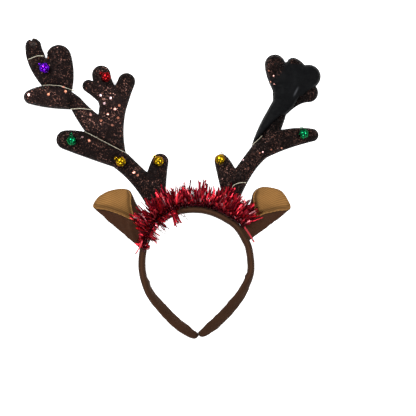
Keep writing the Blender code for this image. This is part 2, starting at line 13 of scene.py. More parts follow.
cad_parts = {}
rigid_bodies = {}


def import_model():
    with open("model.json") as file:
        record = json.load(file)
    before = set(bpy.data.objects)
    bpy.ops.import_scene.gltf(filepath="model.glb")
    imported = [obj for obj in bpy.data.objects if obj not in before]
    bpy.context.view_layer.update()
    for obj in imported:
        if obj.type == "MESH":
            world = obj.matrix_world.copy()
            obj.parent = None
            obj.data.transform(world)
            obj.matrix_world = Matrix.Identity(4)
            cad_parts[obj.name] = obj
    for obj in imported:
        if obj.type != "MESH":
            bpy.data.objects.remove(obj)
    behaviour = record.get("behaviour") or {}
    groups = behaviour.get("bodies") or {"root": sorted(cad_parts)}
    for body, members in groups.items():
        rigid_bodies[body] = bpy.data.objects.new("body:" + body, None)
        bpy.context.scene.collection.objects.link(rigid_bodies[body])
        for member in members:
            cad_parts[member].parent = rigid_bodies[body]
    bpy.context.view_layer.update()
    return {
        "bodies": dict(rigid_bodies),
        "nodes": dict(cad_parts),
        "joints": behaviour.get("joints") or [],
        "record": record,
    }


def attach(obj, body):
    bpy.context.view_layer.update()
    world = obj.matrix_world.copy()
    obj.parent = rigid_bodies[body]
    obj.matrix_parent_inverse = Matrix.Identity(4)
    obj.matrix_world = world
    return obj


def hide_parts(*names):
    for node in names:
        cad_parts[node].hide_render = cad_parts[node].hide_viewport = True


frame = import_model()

bl_info = {
    "name": "Antler headband",
    "version": (1, 0, 0),
    "blender": (4, 5, 0),
    "location": "View3D > Sidebar > Headband",
    "description": "Cloth, padding, tinsel and bells of an antler headband",
    "category": "Object",
}

MM = 0.001
GAP = 0.3 * MM

# Sizes of the part
LOOP_HALF = 57.2 * MM
LOOP_DROP = 132.0 * MM
BAND_DEPTH = 12.4 * MM
BAND_THICK = 7.6 * MM
TWIST_LEFT = math.radians(43.0)
TWIST_RIGHT = math.radians(68.0)
END_ROUND = 5.0 * MM
BAND_SQUARE = 0.8
END_TAPER = 17.0 * MM
SLEEVE_RINGS, SLEEVE_SIDES = 620, 72
KINKS = ((0.213, 1.0), (0.782, 1.1))    # share of the length, depth in mm
ANTLER_REACH = 181.6 * MM
ANTLER_RISE = 179.3 * MM
TINE_HALF = 10.0 * MM
SEAM_LEVEL = 2.6 * MM
PAD_FRONT = 5.8 * MM
PAD_SOFT = 8.5 * MM
BACK_SOFT = 4.0 * MM
FOLD_LIFT = 2.2 * MM
FOLD_SOFT = 2.6 * MM        # width of the step at the edge of the upper layer
FOLD_DIP = 1.3 * MM         # depth and half width of the dip beside it
FOLD_DIP_HALF = 1.6 * MM
SWELL_ROUNDS = 500
GATHER_LENGTH = 4.2 * MM    # gathers at the seam: their length and reach inwards
GATHER_REACH = 3.2 * MM
GROOVE = 0.42               # share of the padding lost under a thread
GROOVE_HALF = 1.7 * MM
GROOVE_HELD = 2.2 * MM
THREAD_PITCH = 2.2 * MM
TONE = 0.55                 # brightness of the antlers' cloth where nothing is said
CLOTH_CELL = 2.2 * MM       # cloth simulation: spacing of its points,
CLOTH_START = 0.90          # share of the padding it starts from,
CLOTH_SPARE = 0.03          # share by which the cloth is cut large,
CLOTH_CAP = 3.0 * MM        # most that a point may move,
CLOTH_FRAMES = 20           # frames,
CLOTH_MASS = 0.05           # and the cloth's mass and stiffness
CLOTH_SHEAR = 6.0
CLOTH_BEND = 0.02
EAR_LONG = 64.0 * MM
EAR_WIDE = 43.0 * MM
EAR_DEEP = 14.2 * MM
EAR_BASE_DEEP = 9.6 * MM
EAR_CREASE = 3.6 * MM       # from the near rim to the dark crease, and its half width
EAR_CREASE_HALF = 1.7 * MM
FELT_WALL = 0.9 * MM
LINING_WALL = 0.8 * MM
LINING_INSET = 1.2 * MM     # from the outer skin to the lining, and to its hem
HEM_INSET = 1.45 * MM
HEM_RADIUS = 0.85 * MM
BELL_RADIUS = 5.3 * MM
BELL_LEAN = math.radians(20.0)
BELL_SINK = 0.5 * MM
BELL_FLANGE = 0.45 * MM     # how far the rim round the middle stands out
SLOT_HALF = 0.38 * MM       # half width of a bell's slots, radius of their ends,
SLOT_END = 0.75 * MM
SLOT_REACH = math.radians(44.0)     # and angle from the lower pole to those
LOOP_RADIUS = 1.25 * MM
LOOP_WIRE = 0.45 * MM
LOOP_HEIGHT = 1.35 * MM
WIRE_RADIUS = 2.4 * MM      # core of the garland
SEAT_SINK = 0.6 * MM        # how far the ears' seats reach into the band's cover
STRIPS_IN_TUFT = 10
CAMERA_PLACE = (0.0122, 0.0007)     # the middle of the photograph's frame

# across: share of LOOP_HALF, down: share of LOOP_DROP, twist: share of the full twist
BAND_ROWS = (
    (0.045, 1.000, 0.80), (-0.105, 0.984, 0.95), (-0.327, 0.922, 1.00), (-0.515, 0.845, 0.96),
    (-0.685, 0.765, 0.80), (-0.835, 0.685, 0.50), (-0.925, 0.605, 0.20), (-0.980, 0.525, 0.00),
    (-1.000, 0.450, 0.00), (-0.985, 0.360, 0.00), (-0.940, 0.275, 0.00), (-0.770, 0.140, 0.00),
    (-0.565, 0.065, 0.00), (-0.300, 0.017, 0.00), (0.000, 0.006, 0.00), (0.280, 0.027, 0.00),
    (0.560, 0.084, 0.00), (0.755, 0.150, 0.00), (0.915, 0.265, 0.00), (0.970, 0.335, 0.00),
    (1.000, 0.450, 0.00), (0.985, 0.525, 0.10), (0.910, 0.605, 0.35), (0.812, 0.685, 0.62),
    (0.671, 0.765, 0.84), (0.506, 0.845, 0.87), (0.318, 0.922, 0.84), (0.134, 0.975, 0.84),
    (0.026, 0.986, 0.84),
)

# One row for each tine: root, middle and tip, each as across (share of
# ANTLER_REACH), up (share of ANTLER_RISE) and half (share of TINE_HALF), then
# the layer; layer 1 lies over layer 0
LEFT_TINES = (
    (0.150, -0.065, 0.94, 0.200, 0.010, 1.10, 0.247, 0.085, 1.26, 0),
    (0.247, 0.085, 1.26, 0.338, 0.187, 1.00, 0.435, 0.280, 1.02, 0),
    (0.243, 0.110, 1.20, 0.229, 0.200, 1.05, 0.210, 0.275, 0.88, 0),
    (0.445, 0.290, 0.98, 0.615, 0.367, 1.28, 0.757, 0.404, 1.00, 0),
    (0.462, 0.325, 0.96, 0.492, 0.455, 1.28, 0.485, 0.590, 1.42, 0),
    (0.535, 0.430, 1.36, 0.635, 0.535, 1.00, 0.698, 0.620, 0.72, 0),
    (0.700, 0.622, 0.72, 0.835, 0.655, 1.18, 0.960, 0.655, 0.74, 1),
    (0.805, 0.720, 1.62, 0.797, 0.805, 1.56, 0.798, 0.888, 1.32, 0),
    (0.850, 0.770, 1.20, 0.918, 0.862, 1.02, 0.945, 0.953, 0.84, 0),
    (0.515, 0.650, 1.00, 0.575, 0.685, 0.70, 0.625, 0.720, 0.66, 0),
    (0.500, 0.635, 1.26, 0.537, 0.725, 1.02, 0.551, 0.786, 0.98, 0),
    (0.475, 0.595, 1.26, 0.435, 0.675, 1.00, 0.405, 0.745, 0.92, 0),
)
RIGHT_TINES = (
    (0.150, -0.060, 0.94, 0.175, 0.015, 1.02, 0.205, 0.105, 1.10, 0),
    (0.205, 0.105, 1.10, 0.290, 0.240, 0.90, 0.370, 0.340, 1.00, 0),
    (0.205, 0.115, 1.14, 0.174, 0.212, 1.00, 0.145, 0.280, 0.74, 0),
    (0.370, 0.342, 1.00, 0.505, 0.405, 1.06, 0.670, 0.432, 0.68, 0),
    (0.385, 0.370, 0.90, 0.445, 0.480, 0.86, 0.478, 0.575, 0.82, 0),
    (0.490, 0.575, 0.70, 0.570, 0.655, 0.94, 0.650, 0.680, 1.00, 0),
    (0.345, 0.330, 0.60, 0.417, 0.490, 0.76, 0.487, 0.610, 0.90, 0),
    (0.322, 0.372, 0.03, 0.388, 0.483, 0.42, 0.478, 0.600, 0.80, 1),
    (0.497, 0.600, 0.94, 0.525, 0.705, 1.50, 0.540, 0.775, 1.58, 1),
    (0.505, 0.720, 1.26, 0.470, 0.790, 1.16, 0.455, 0.845, 1.08, 1),
    (0.590, 0.755, 1.36, 0.575, 0.805, 1.16, 0.560, 0.850, 0.66, 1),
    (0.575, 0.730, 1.36, 0.615, 0.760, 1.36, 0.650, 0.775, 1.26, 1),
)

# Threads wound round a tine, each a run of points (across, up) on the front
LEFT_THREADS = (
    ((0.970, 0.875), (0.950, 0.882), (0.918, 0.893), (0.883, 0.894)),
    ((0.887, 0.721), (0.842, 0.722), (0.789, 0.719), (0.768, 0.712), (0.709, 0.691)),
    ((0.728, 0.583), (0.673, 0.586), (0.607, 0.580)),
    ((0.643, 0.451), (0.551, 0.402), (0.466, 0.357), (0.397, 0.321)),
)
RIGHT_THREADS = (
    ((0.327, 0.376), (0.350, 0.398), (0.380, 0.426)),
    ((0.203, 0.118), (0.220, 0.140), (0.255, 0.152), (0.286, 0.152)),
)

# Small notches in the rim: across, up, radius in mm
LEFT_NICKS = ((0.957, 0.993, 1.1), (0.8700, 0.8900, 1.1), (0.8715, 0.9040, 1.5))

# Where the upper layer springs from: across, up; and the edge of the turned part
LEFT_FOLD_ROOT = (0.672, 0.598)
RIGHT_FOLD_ROOT = (0.290, 0.300)
FOLD_EDGE = np.array(((0.370, 0.411), (0.475, 0.464)))

# Ovals of the left antler where the cloth is brighter, partly its own tone and partly painted
# light: across, up, half width and height in mm, brightness
LEFT_TONE_AND_PAINTED_LIGHT = (
    (0.53, 0.585, 34.0, 30.0, 1.05), (0.86, 0.665, 30.0, 15.0, 1.00),
    (0.82, 0.850, 30.0, 26.0, 0.62),
)

# Bells: node, antler, across, up, the loop's direction across and up, metal
BELLS = (
    ("bell_purple", "left", 0.871, 0.818, 0.80, 0.60, "purple"),
    ("bell_red", "left", 0.519, 0.767, 0.80, 0.60, "red"),
    ("bell_green_left", "left", 0.715, 0.396, 0.14, 0.99, "green"),
    ("bell_gold_stem", "left", 0.4345, 0.2745, 0.84, 0.54, "gold"),
    ("bell_gold_brow_left", "left", 0.217, 0.277, 0.66, 0.75, "gold"),
    ("bell_gold_brow_right", "right", 0.137, 0.287, 0.30, 0.95, "gold"),
    ("bell_green_right", "right", 0.617, 0.437, -0.30, 0.95, "green"),
)

# Ears. rim rows, round the mouth from the tip: share of EAR_LONG out, share of
# EAR_WIDE up, share of EAR_DEEP high
EARS = {
    "left": {
        "side": -1.0,
        "seat": (0.308, 0.366),
        "rim": (
            (0.820, 1.010, 0.34), (0.765, 1.230, 0.05), (0.615, 1.390, 0.03),
            (0.435, 1.465, 0.03), (0.270, 1.465, 0.04), (0.195, 1.365, 0.36),
            (0.190, 1.125, 0.75), (0.155, 0.720, 1.00), (0.370, 0.835, 0.92),
            (0.600, 0.945, 0.66),
        ),
    },
    "right": {
        "side": 1.0,
        "seat": (0.684, 0.640),
        "rim": (
            (0.720, 0.805, 0.34), (0.675, 1.050, 0.05), (0.580, 1.240, 0.03),
            (0.450, 1.320, 0.03), (0.245, 1.345, 0.04), (0.115, 1.210, 0.36),
            (0.110, 0.975, 0.75), (0.170, 0.645, 1.00), (0.335, 0.700, 0.92),
            (0.530, 0.755, 0.66),
        ),
    },
}

# Twisted wire of the garland: share of the band's length, mm outside the band's
# centre line, mm over the floor
WIRE_ROWS = (
    (0.303, -1.0, 14.6), (0.320, -0.5, 15.4), (0.350, 1.5, 16.0), (0.400, 3.5, 16.0),
    (0.445, 4.6, 15.0), (0.475, 5.2, 13.2), (0.505, 5.1, 12.2), (0.530, 5.1, 12.2),
    (0.555, 5.1, 12.4), (0.600, 5.1, 13.8), (0.625, 5.1, 14.0), (0.645, 5.0, 13.0),
)

# Fans of foil strips: first and last share, strips, angle range in degrees from
# outward (0) over upright (90) to inward (180), and range of reach in mm
FANS = (
    (0.314, 0.470, 400, -14.0, 46.0, 17.0, 29.0),
    (0.308, 0.470, 240, 30.0, 150.0, 7.0, 13.0),
    (0.308, 0.470, 200, -30.0, 210.0, 3.0, 7.0),
    (0.306, 0.462, 110, 150.0, 205.0, 9.0, 20.0),
    (0.470, 0.572, 230, -12.0, 30.0, 15.5, 27.5),
    (0.470, 0.572, 190, 0.0, 76.0, 7.0, 15.0),
    (0.470, 0.572, 150, -40.0, 84.0, 3.0, 6.0),
    (0.572, 0.640, 260, -14.0, 42.0, 19.5, 30.5),
    (0.572, 0.640, 170, 0.0, 80.0, 8.0, 16.0),
    (0.572, 0.642, 110, -40.0, 88.0, 3.0, 6.0),
)

# Single strips that lie apart: points (x, y) in mm, width in mm, and brightness, the share of
# painted light between the shaded foil and STRAY_RED
STRAYS = (
    (((-55.6, -33.4), (-59.0, -40.5), (-63.5, -47.3)), 0.9, 0.85),
    (((-68.1, -7.7), (-63.6, -11.3), (-59.2, -14.5)), 1.1, 1.0),
    (((49.8, -18.9), (55.0, -26.3), (60.6, -35.2)), 1.1, 0.95),
    (((-43.3, -0.9), (-39.4, -4.6), (-35.2, -8.7)), 1.2, 1.0),
    (
        ((-35.2, -16.5), (-31.5, -24.5), (-32.6, -25.8), (-37.4, -23.4), (-40.1, -19.6)),
        0.4, 0.05,
    ),
    (((-42.5, -19.6), (-38.6, -22.4), (-35.5, -23.0)), 0.4, 0.1),
    (((-12.8, -5.3), (-11.3, -8.2), (-9.0, -11.7)), 0.5, 0.05),
    (((-16.6, -4.6), (-14.2, -7.6), (-11.8, -8.6)), 0.5, 0.1),
)

STRAY_RED = np.array((0.62, 0.05, 0.07))

# Large bright spangles: across, up, and a colour from pale pink (0), a painted glint, to copper (1)
LEFT_SPANGLES = (
    (0.553, 0.663, 0.05), (0.494, 0.645, 0.10), (0.530, 0.614, 0.05), (0.469, 0.581, 0.75),
    (0.510, 0.552, 0.80), (0.609, 0.548, 0.70), (0.547, 0.513, 1.00), (0.484, 0.486, 0.90),
    (0.657, 0.417, 0.35), (0.965, 0.663, 0.55), (0.849, 0.664, 1.00), (0.768, 0.713, 0.90),
    (0.754, 0.684, 1.00), (0.855, 0.882, 1.00), (0.444, 0.602, 1.00), (0.452, 0.530, 1.00),
    (0.615, 0.395, 0.95), (0.360, 0.212, 0.85), (0.338, 0.195, 0.95),
)
RIGHT_SPANGLES = (
    (0.272, 0.284, 0.15), (0.382, 0.330, 0.35), (0.365, 0.325, 0.95), (0.432, 0.345, 1.00),
    (0.492, 0.356, 0.90), (0.418, 0.806, 1.00), (0.445, 0.775, 0.60), (0.430, 0.742, 0.90),
    (0.448, 0.728, 0.70),
)
SPANGLE_PAINTED_GLINT = np.array((0.92, 0.62, 0.66))
SPANGLE_COPPER = np.array((0.62, 0.22, 0.13))


# Curves and noise
def smooth_through(rows, steps, closed=False):
    """Catmull-Rom curve. Between rows b and c, with a before and d after, the point
    at t is b + t(c - a)/2 + t2(a - 5b/2 + 2c - d/2) + t3(3b/2 - 3c/2 + d/2 - a/2)."""
    rows = np.asarray(rows, float)
    if closed:
        a, b, c, d = (np.roll(rows, shift, axis=0) for shift in (1, 0, -1, -2))
    else:
        full = np.vstack((2.0 * rows[0] - rows[1], rows, 2.0 * rows[-1] - rows[-2]))
        a, b, c, d = full[:-3], full[1:-2], full[2:-1], full[3:]
    a, b, c, d = (part[:, None, :] for part in (a, b, c, d))
    t = np.linspace(0.0, 1.0, steps, endpoint=False)[None, :, None]
    points = (
        b
        + 0.5 * t * (c - a)
        + t**2 * (a - 2.5 * b + 2.0 * c - 0.5 * d)
        + t**3 * (1.5 * b - 1.5 * c + 0.5 * d - 0.5 * a)
    ).reshape(-1, rows.shape[1])
    return points if closed else np.vstack((points, rows[-1:]))


def along(points, shares, axes=2):
    """Rows of a dense curve at shares of its length, measured in its first axes."""
    lengths = np.linalg.norm(np.diff(points[:, :axes], axis=0), axis=1)
    run = np.concatenate(([0.0], np.cumsum(lengths)))
    run /= run[-1]
    return np.column_stack([np.interp(shares, run, column) for column in points.T])


def wave_noise(points, wavelength, seed, waves=12):
    """Sum of sine waves in random directions, with lengths from 0.7 to 1.4 times
    the wavelength and random phases, divided so that its spread is 1."""
    points = np.asarray(points, float)
    chance = np.random.default_rng(seed)
    way = chance.normal(size=(waves, points.shape[-1]))
    way /= np.linalg.norm(way, axis=1, keepdims=True)
    way *= 2.0 * math.pi / (wavelength * chance.uniform(0.7, 1.4, waves))[:, None]
    phase = chance.uniform(0.0, 2.0 * math.pi, waves)
    return np.sin(points @ way.T + phase).sum(axis=-1) * math.sqrt(2.0 / waves)


def soft_step(low, high, value):
    """0 below low, 1 above high, and 3t2 - 2t3 between them."""
    t = np.clip((value - low) / (high - low), 0.0, 1.0)
    return t * t * (3.0 - 2.0 * t)


def unit(vectors):
    """Each vector divided by its length."""
    return vectors / np.maximum(np.linalg.norm(vectors, axis=-1, keepdims=True), 1e-12)


def quarter_round(distance, reach):
    """Quarter ellipse that starts upright at 0 and is level from reach on."""
    return np.sqrt(1.0 - (1.0 - np.clip(distance / reach, 0.0, 1.0)) ** 2)


def band_line():
    """Centre line of the band: x, y and the twist in radians."""
    line = smooth_through(BAND_ROWS, 24)
    full = np.where(line[:, 0] < 0.03, TWIST_LEFT, TWIST_RIGHT)
    return np.column_stack((
        line[:, 0] * LOOP_HALF,
        -line[:, 1] * LOOP_DROP,
        np.clip(line[:, 2], 0.0, 1.0) * full,
    ))


BAND_LINE = band_line()
BAND_LENGTH = float(np.linalg.norm(np.diff(BAND_LINE[:, :2], axis=0), axis=1).sum())


def band_places(shares):
    """Points on the band's centre line and the outward directions there."""
    step = 0.004
    shares = np.clip(np.asarray(shares, float), step, 1.0 - step)
    before = along(BAND_LINE, shares - step)[:, :2]
    after = along(BAND_LINE, shares + step)[:, :2]
    way = unit(after - before)
    return along(BAND_LINE, shares)[:, :2], np.column_stack((-way[:, 1], way[:, 0]))


def distance_outside_band(points):
    """Distance in plan from the band's centre line, negative inside the loop."""
    line = BAND_LINE[::3, :2]
    start, edge = line[:-1], np.diff(line, axis=0)
    away = points[:, None, :] - start[None]
    t = np.clip((away * edge).sum(axis=2) / (edge**2).sum(axis=1), 0.0, 1.0)
    away = away - t[:, :, None] * edge
    distance = np.linalg.norm(away, axis=2)
    nearest = distance.argmin(axis=1)
    rows = np.arange(len(points))
    off, way = away[rows, nearest], edge[nearest]
    return distance[rows, nearest] * np.sign(off[:, 1] * way[:, 0] - off[:, 0] * way[:, 1])


def by_parts(function, points, size=3000):
    """A function of many points, worked out a few thousand at a time."""
    return np.concatenate([
        function(points[start:start + size]) for start in range(0, len(points), size)
    ])


def circle(first, second, turn):
    """first cos(turn) + second sin(turn): rings of directions, one for each pair."""
    return first[:, None] * np.cos(turn)[..., None] + second[:, None] * np.sin(turn)[..., None]


# Meshes
def grid_faces(rows, columns, wrap_rows=False, wrap_columns=False):
    """Four-cornered faces of a grid of points, and the row and column numbers of
    their corners as they are before the grid closes on itself."""
    i, j = np.meshgrid(
        np.arange(rows - (not wrap_rows)), np.arange(columns - (not wrap_columns)), indexing="ij"
    )
    i = i.ravel()[:, None] + np.array((0, 1, 1, 0))
    j = j.ravel()[:, None] + np.array((0, 0, 1, 1))
    return (i % rows) * columns + j % columns, i, j


def ring_edges(count):
    """Numbers of the points round a ring, and of the point after each."""
    here = np.arange(count)
    return here, (here + 1) % count


def faces_outwards(points, groups):
    """Whether a closed mesh faces out: the sum of the volumes between each triangle
    and the origin, a . (b x c), is then positive."""
    volume = 0.0
    for group in groups:
        first = points[group[:, 0]]
        for k in range(1, group.shape[1] - 1):
            turned = np.cross(points[group[:, k]], points[group[:, k + 1]])
            volume += (first * turned).sum()
    return volume >= 0.0


def new_piece(name, points, faces, material, uv=None, values=None, tints=None, sharp=None):
    """An object at the origin from an array of points and arrays of faces. uv has a
    pair for every face corner; values and tints are kept for every point. A mesh
    that is inside out is turned over."""
    groups = [np.asarray(group) for group in faces if len(group)]
    if not faces_outwards(points, groups):
        if uv is not None:
            sizes = np.cumsum([group.size for group in groups])[:-1]
            parts = [
                part.reshape(-1, group.shape[1], 2)[:, ::-1].reshape(-1, 2)
                for part, group in zip(np.split(np.asarray(uv), sizes), groups)
            ]
            uv = np.vstack(parts)
        groups = [group[:, ::-1] for group in groups]
    counts = np.concatenate([np.full(len(group), group.shape[1]) for group in groups])
    corners = np.concatenate([group.ravel() for group in groups]).astype(np.int32)
    mesh = bpy.data.meshes.new(name)
    mesh.vertices.add(len(points))
    mesh.vertices.foreach_set("co", np.asarray(points, np.float32).ravel())
    mesh.loops.add(len(corners))
    mesh.loops.foreach_set("vertex_index", corners)
    mesh.polygons.add(len(counts))
    starts = np.concatenate(([0], np.cumsum(counts)[:-1])).astype(np.int32)
    mesh.polygons.foreach_set("loop_start", starts)
    mesh.update(calc_edges=True)
    if uv is not None:
        layer = mesh.uv_layers.new(name="cloth")
        layer.data.foreach_set("uv", np.asarray(uv, np.float32).ravel())
    for key, value in (values or {}).items():
        attribute = mesh.attributes.new(key, "FLOAT", "POINT")
        attribute.data.foreach_set("value", np.asarray(value, np.float32))
    for key, value in (tints or {}).items():
        attribute = mesh.attributes.new(key, "FLOAT_COLOR", "POINT")
        colour = np.column_stack((value, np.ones(len(value)))).astype(np.float32)
        attribute.data.foreach_set("color", colour.ravel())
    mesh.materials.append(material)
    if sharp is None:
        mesh.shade_smooth()
    elif sharp > 0.0:
        mesh.shade_smooth()
        mesh.set_sharp_from_angle(angle=sharp)
    else:
        mesh.shade_flat()
    piece = bpy.data.objects.new(name, mesh)
    bpy.context.scene.collection.objects.link(piece)
    return piece


def finish_piece(piece, nodes=()):
    """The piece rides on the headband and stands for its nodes."""
    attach(piece, "root")
    if nodes:
        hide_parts(*nodes)


def join_points(parts):
    """Stack the points and faces of several closed shapes into one mesh."""
    points, faces, start = [], [], 0
    for part_points, part_faces in parts:
        points.append(part_points)
        faces += [group + start for group in part_faces]
        start += len(part_points)
    return np.vstack(points), faces


def tube(path, side, radius, sides=8):
    """A circle of the given radius carried along a path. side is a direction across
    the path; the circle lies in side and its cross product with the path's way."""
    way = unit(np.gradient(path, axis=0))
    side = np.broadcast_to(side, path.shape)
    side = unit(side - (side * way).sum(axis=1, keepdims=True) * way)
    other = np.cross(way, side)
    turn = np.arange(sides) * 2.0 * math.pi / sides
    radius = np.broadcast_to(radius, (len(path),))[:, None, None]
    points = (path[:, None] + circle(side, other, turn) * radius).reshape(-1, 3)
    body = grid_faces(len(path), sides, wrap_columns=True)[0][:, ::-1]
    caps = np.arange(sides)
    ends = np.vstack((caps[::-1], caps + (len(path) - 1) * sides))
    return points, [body, ends]


# Materials
class Tree:
    """A short way to add and join the nodes of one node tree."""

    def __init__(self, tree):
        self.tree = tree

    def add(self, kind, inputs=None, **settings):
        node = self.tree.nodes.new("ShaderNode" + kind)
        for key, value in settings.items():
            setattr(node, key, value)
        for key, value in (inputs or {}).items():
            self.put(node.inputs[key], value)
        return node

    def put(self, socket, value):
        if isinstance(value, bpy.types.NodeSocket):
            self.tree.links.new(value, socket)
        else:
            socket.default_value = value

    def maths(self, operation, first, second=0.0, third=0.0):
        inputs = {0: first, 1: second, 2: third}
        return self.add("Math", inputs, operation=operation).outputs[0]

    def colour(self, factor, first, second, blend="MIX"):
        inputs = {0: factor, 6: first, 7: second}
        return self.add("Mix", inputs, data_type="RGBA", blend_type=blend).outputs[2]

    def between(self, value, low, high, first=0.0, second=1.0):
        inputs = {"Value": value, "From Min": low, "From Max": high}
        inputs.update({"To Min": first, "To Max": second})
        return self.add("MapRange", inputs).outputs[0]

    def fade(self, value, first, second):
        """first where the value is 0, second where it is 1."""
        return self.between(value, 0.0, 1.0, first, second)

    def arch(self, value, rate):
        """|sin(rate value)|: a row of round threads."""
        return self.maths("ABSOLUTE", self.maths("SINE", self.maths("MULTIPLY", value, rate)))

    def place(self):
        return self.add("TexCoord").outputs["Object"]

    def flat(self):
        return self.add("UVMap", uv_map="cloth").outputs[0]

    def dye(self, size, strength):
        """Shade of the uneven dye."""
        inputs = {"Vector": self.place(), "Size": size, "Strength": strength}
        return self.group(effect(uneven_dye), inputs)["Shade"]

    def scuffs(self, size):
        return self.group(effect(fine_scuffs), {"Vector": self.place(), "Size": size})

    def values(self, name, output="Fac"):
        return self.add("Attribute", attribute_name=name).outputs[output]

    def noise(self, vector, scale, detail=2.0):
        inputs = {"Vector": vector, "Scale": scale, "Detail": detail}
        return self.add("TexNoise", inputs).outputs["Fac"]

    def group(self, group, inputs):
        node = self.tree.nodes.new("ShaderNodeGroup")
        node.node_tree = group
        for key, value in inputs.items():
            self.put(node.inputs[key], value)
        return node.outputs


def new_group(name, inputs, outputs):
    """A shader node group with named sockets, its tree, its inputs and its output."""
    group = bpy.data.node_groups.new(name, "ShaderNodeTree")
    kinds = {3: "NodeSocketVector", 1: "NodeSocketFloat"}
    for key, value in inputs.items():
        size = 3 if value is None else 1
        socket = group.interface.new_socket(key, in_out="INPUT", socket_type=kinds[size])
        if value is not None:
            socket.default_value = value
    for key in outputs:
        group.interface.new_socket(key, in_out="OUTPUT", socket_type="NodeSocketFloat")
    source = group.nodes.new("NodeGroupInput").outputs
    result = group.nodes.new("NodeGroupOutput").inputs
    return group, Tree(group), source, result


def woven_threads():
    """Plain weave: warp and weft are rounded threads that pass over each other in a
    chequerboard; Height is the upper one, Shade is dark in the holes between."""
    group, tree, source, result = new_group(
        "woven_threads", {"Vector": None, "Pitch": 0.0006}, ("Height", "Shade")
    )
    parts = tree.add("SeparateXYZ", {0: source["Vector"]}).outputs
    across = tree.maths("DIVIDE", parts[0], source["Pitch"])
    up = tree.maths("DIVIDE", parts[1], source["Pitch"])
    cells = tree.maths("ADD", tree.maths("FLOOR", across), tree.maths("FLOOR", up))
    over = tree.maths("FLOORED_MODULO", cells, 2.0)
    top = tree.maths("MULTIPLY", tree.arch(across, math.pi), over)
    low = tree.maths("MULTIPLY", tree.arch(up, math.pi), tree.maths("SUBTRACT", 1.0, over))
    height = tree.maths("ADD", top, low)
    tree.put(result["Height"], height)
    tree.put(result["Shade"], tree.between(height, 0.0, 0.7, 0.62, 1.08))
    return group


def twill_ribs():
    """Twill: a slanting rib is the sine of x + y over the pitch, broken into single
    threads by a finer sine of x - y."""
    group, tree, source, result = new_group(
        "twill_ribs", {"Vector": None, "Pitch": 0.0016}, ("Height", "Shade")
    )
    parts = tree.add("SeparateXYZ", {0: source["Vector"]}).outputs
    slant = tree.maths("DIVIDE", tree.maths("ADD", parts[0], parts[1]), source["Pitch"])
    cross = tree.maths("DIVIDE", tree.maths("SUBTRACT", parts[0], parts[1]), source["Pitch"])
    fine = tree.fade(tree.arch(cross, 2.5 * math.pi), 0.72, 1.0)
    height = tree.maths("MULTIPLY", tree.arch(slant, math.pi), fine)
    tree.put(result["Height"], height)
    tree.put(result["Shade"], tree.between(height, 0.0, 0.8, 0.6, 1.1))
    return group


def uneven_dye():
    """Slow change of tone: broad noise with a finer one on it, about 1."""
    group, tree, source, result = new_group(
        "uneven_dye", {"Vector": None, "Size": 0.02, "Strength": 0.2}, ("Shade",)
    )
    scale = tree.maths("DIVIDE", 1.0, source["Size"])
    noise = tree.noise(source["Vector"], scale, 4.0)
    shift = tree.maths("MULTIPLY", tree.maths("SUBTRACT", noise, 0.5), source["Strength"])
    tree.put(result["Shade"], tree.maths("MULTIPLY_ADD", shift, 2.0, 1.0))
    return group


def glitter_specks():
    """Flat specks scattered on cloth: cells of the given size with a random number
    each, of which a share is lit. Tone is the random number of a lit cell."""
    group, tree, source, result = new_group(
        "glitter_specks",
        {"Vector": None, "Size": 0.001, "Share": 0.3},
        ("Mask", "Tone", "Height"),
    )
    scale = tree.maths("DIVIDE", 1.0, source["Size"])
    cells = tree.add("TexVoronoi", {"Vector": source["Vector"], "Scale": scale})
    tones = tree.add("SeparateColor", {0: cells.outputs["Color"]}).outputs
    lit = tree.maths("LESS_THAN", tones[0], source["Share"])
    inside = tree.between(cells.outputs["Distance"], 0.32, 0.42, 1.0, 0.0)
    mask = tree.maths("MULTIPLY", lit, inside)
    tree.put(result["Mask"], mask)
    tree.put(result["Tone"], tones[1])
    tree.put(result["Height"], tree.maths("MULTIPLY", mask, tones[2]))
    return group


def fine_scuffs():
    """Small dents and rubbed spots of thin sheet metal or foil."""
    group, tree, source, result = new_group(
        "fine_scuffs", {"Vector": None, "Size": 0.002}, ("Height", "Rubbed")
    )
    scale = tree.maths("DIVIDE", 1.0, source["Size"])
    tree.put(result["Height"], tree.noise(source["Vector"], scale, 3.0))
    fine = tree.noise(source["Vector"], tree.maths("MULTIPLY", scale, 5.0), 2.0)
    tree.put(result["Rubbed"], tree.between(fine, 0.52, 0.72))
    return group


GROUPS = {}


def effect(maker):
    """The node group of an effect, built the first time that it is needed."""
    if maker.__name__ not in GROUPS:
        GROUPS[maker.__name__] = maker()
    return GROUPS[maker.__name__]


def new_material(name, **sockets):
    """A material with one Principled shader, whose constant sockets are set."""
    material = bpy.data.materials.new(name)
    material.use_nodes = True
    shader = material.node_tree.nodes["Principled BSDF"]
    for key, value in sockets.items():
        shader.inputs[key.replace("_", " ")].default_value = value
    return material, Tree(material.node_tree), shader.inputs


def bump(tree, sockets, height, distance, strength=1.0):
    """Send a height to the shader's normal."""
    inputs = {"Height": height, "Distance": distance, "Strength": strength}
    tree.put(sockets["Normal"], tree.add("Bump", inputs).outputs[0])


def opaque(colour):
    """A colour with full alpha."""
    return (*colour[:3], 1.0)


def tinted(tree, colour, shades):
    """A colour multiplied by each of the shades."""
    for shade in shades:
        grey = tree.add("CombineColor", dict.fromkeys(range(3), shade)).outputs[0]
        colour = tree.colour(1.0, colour, grey, "MULTIPLY")
    return colour


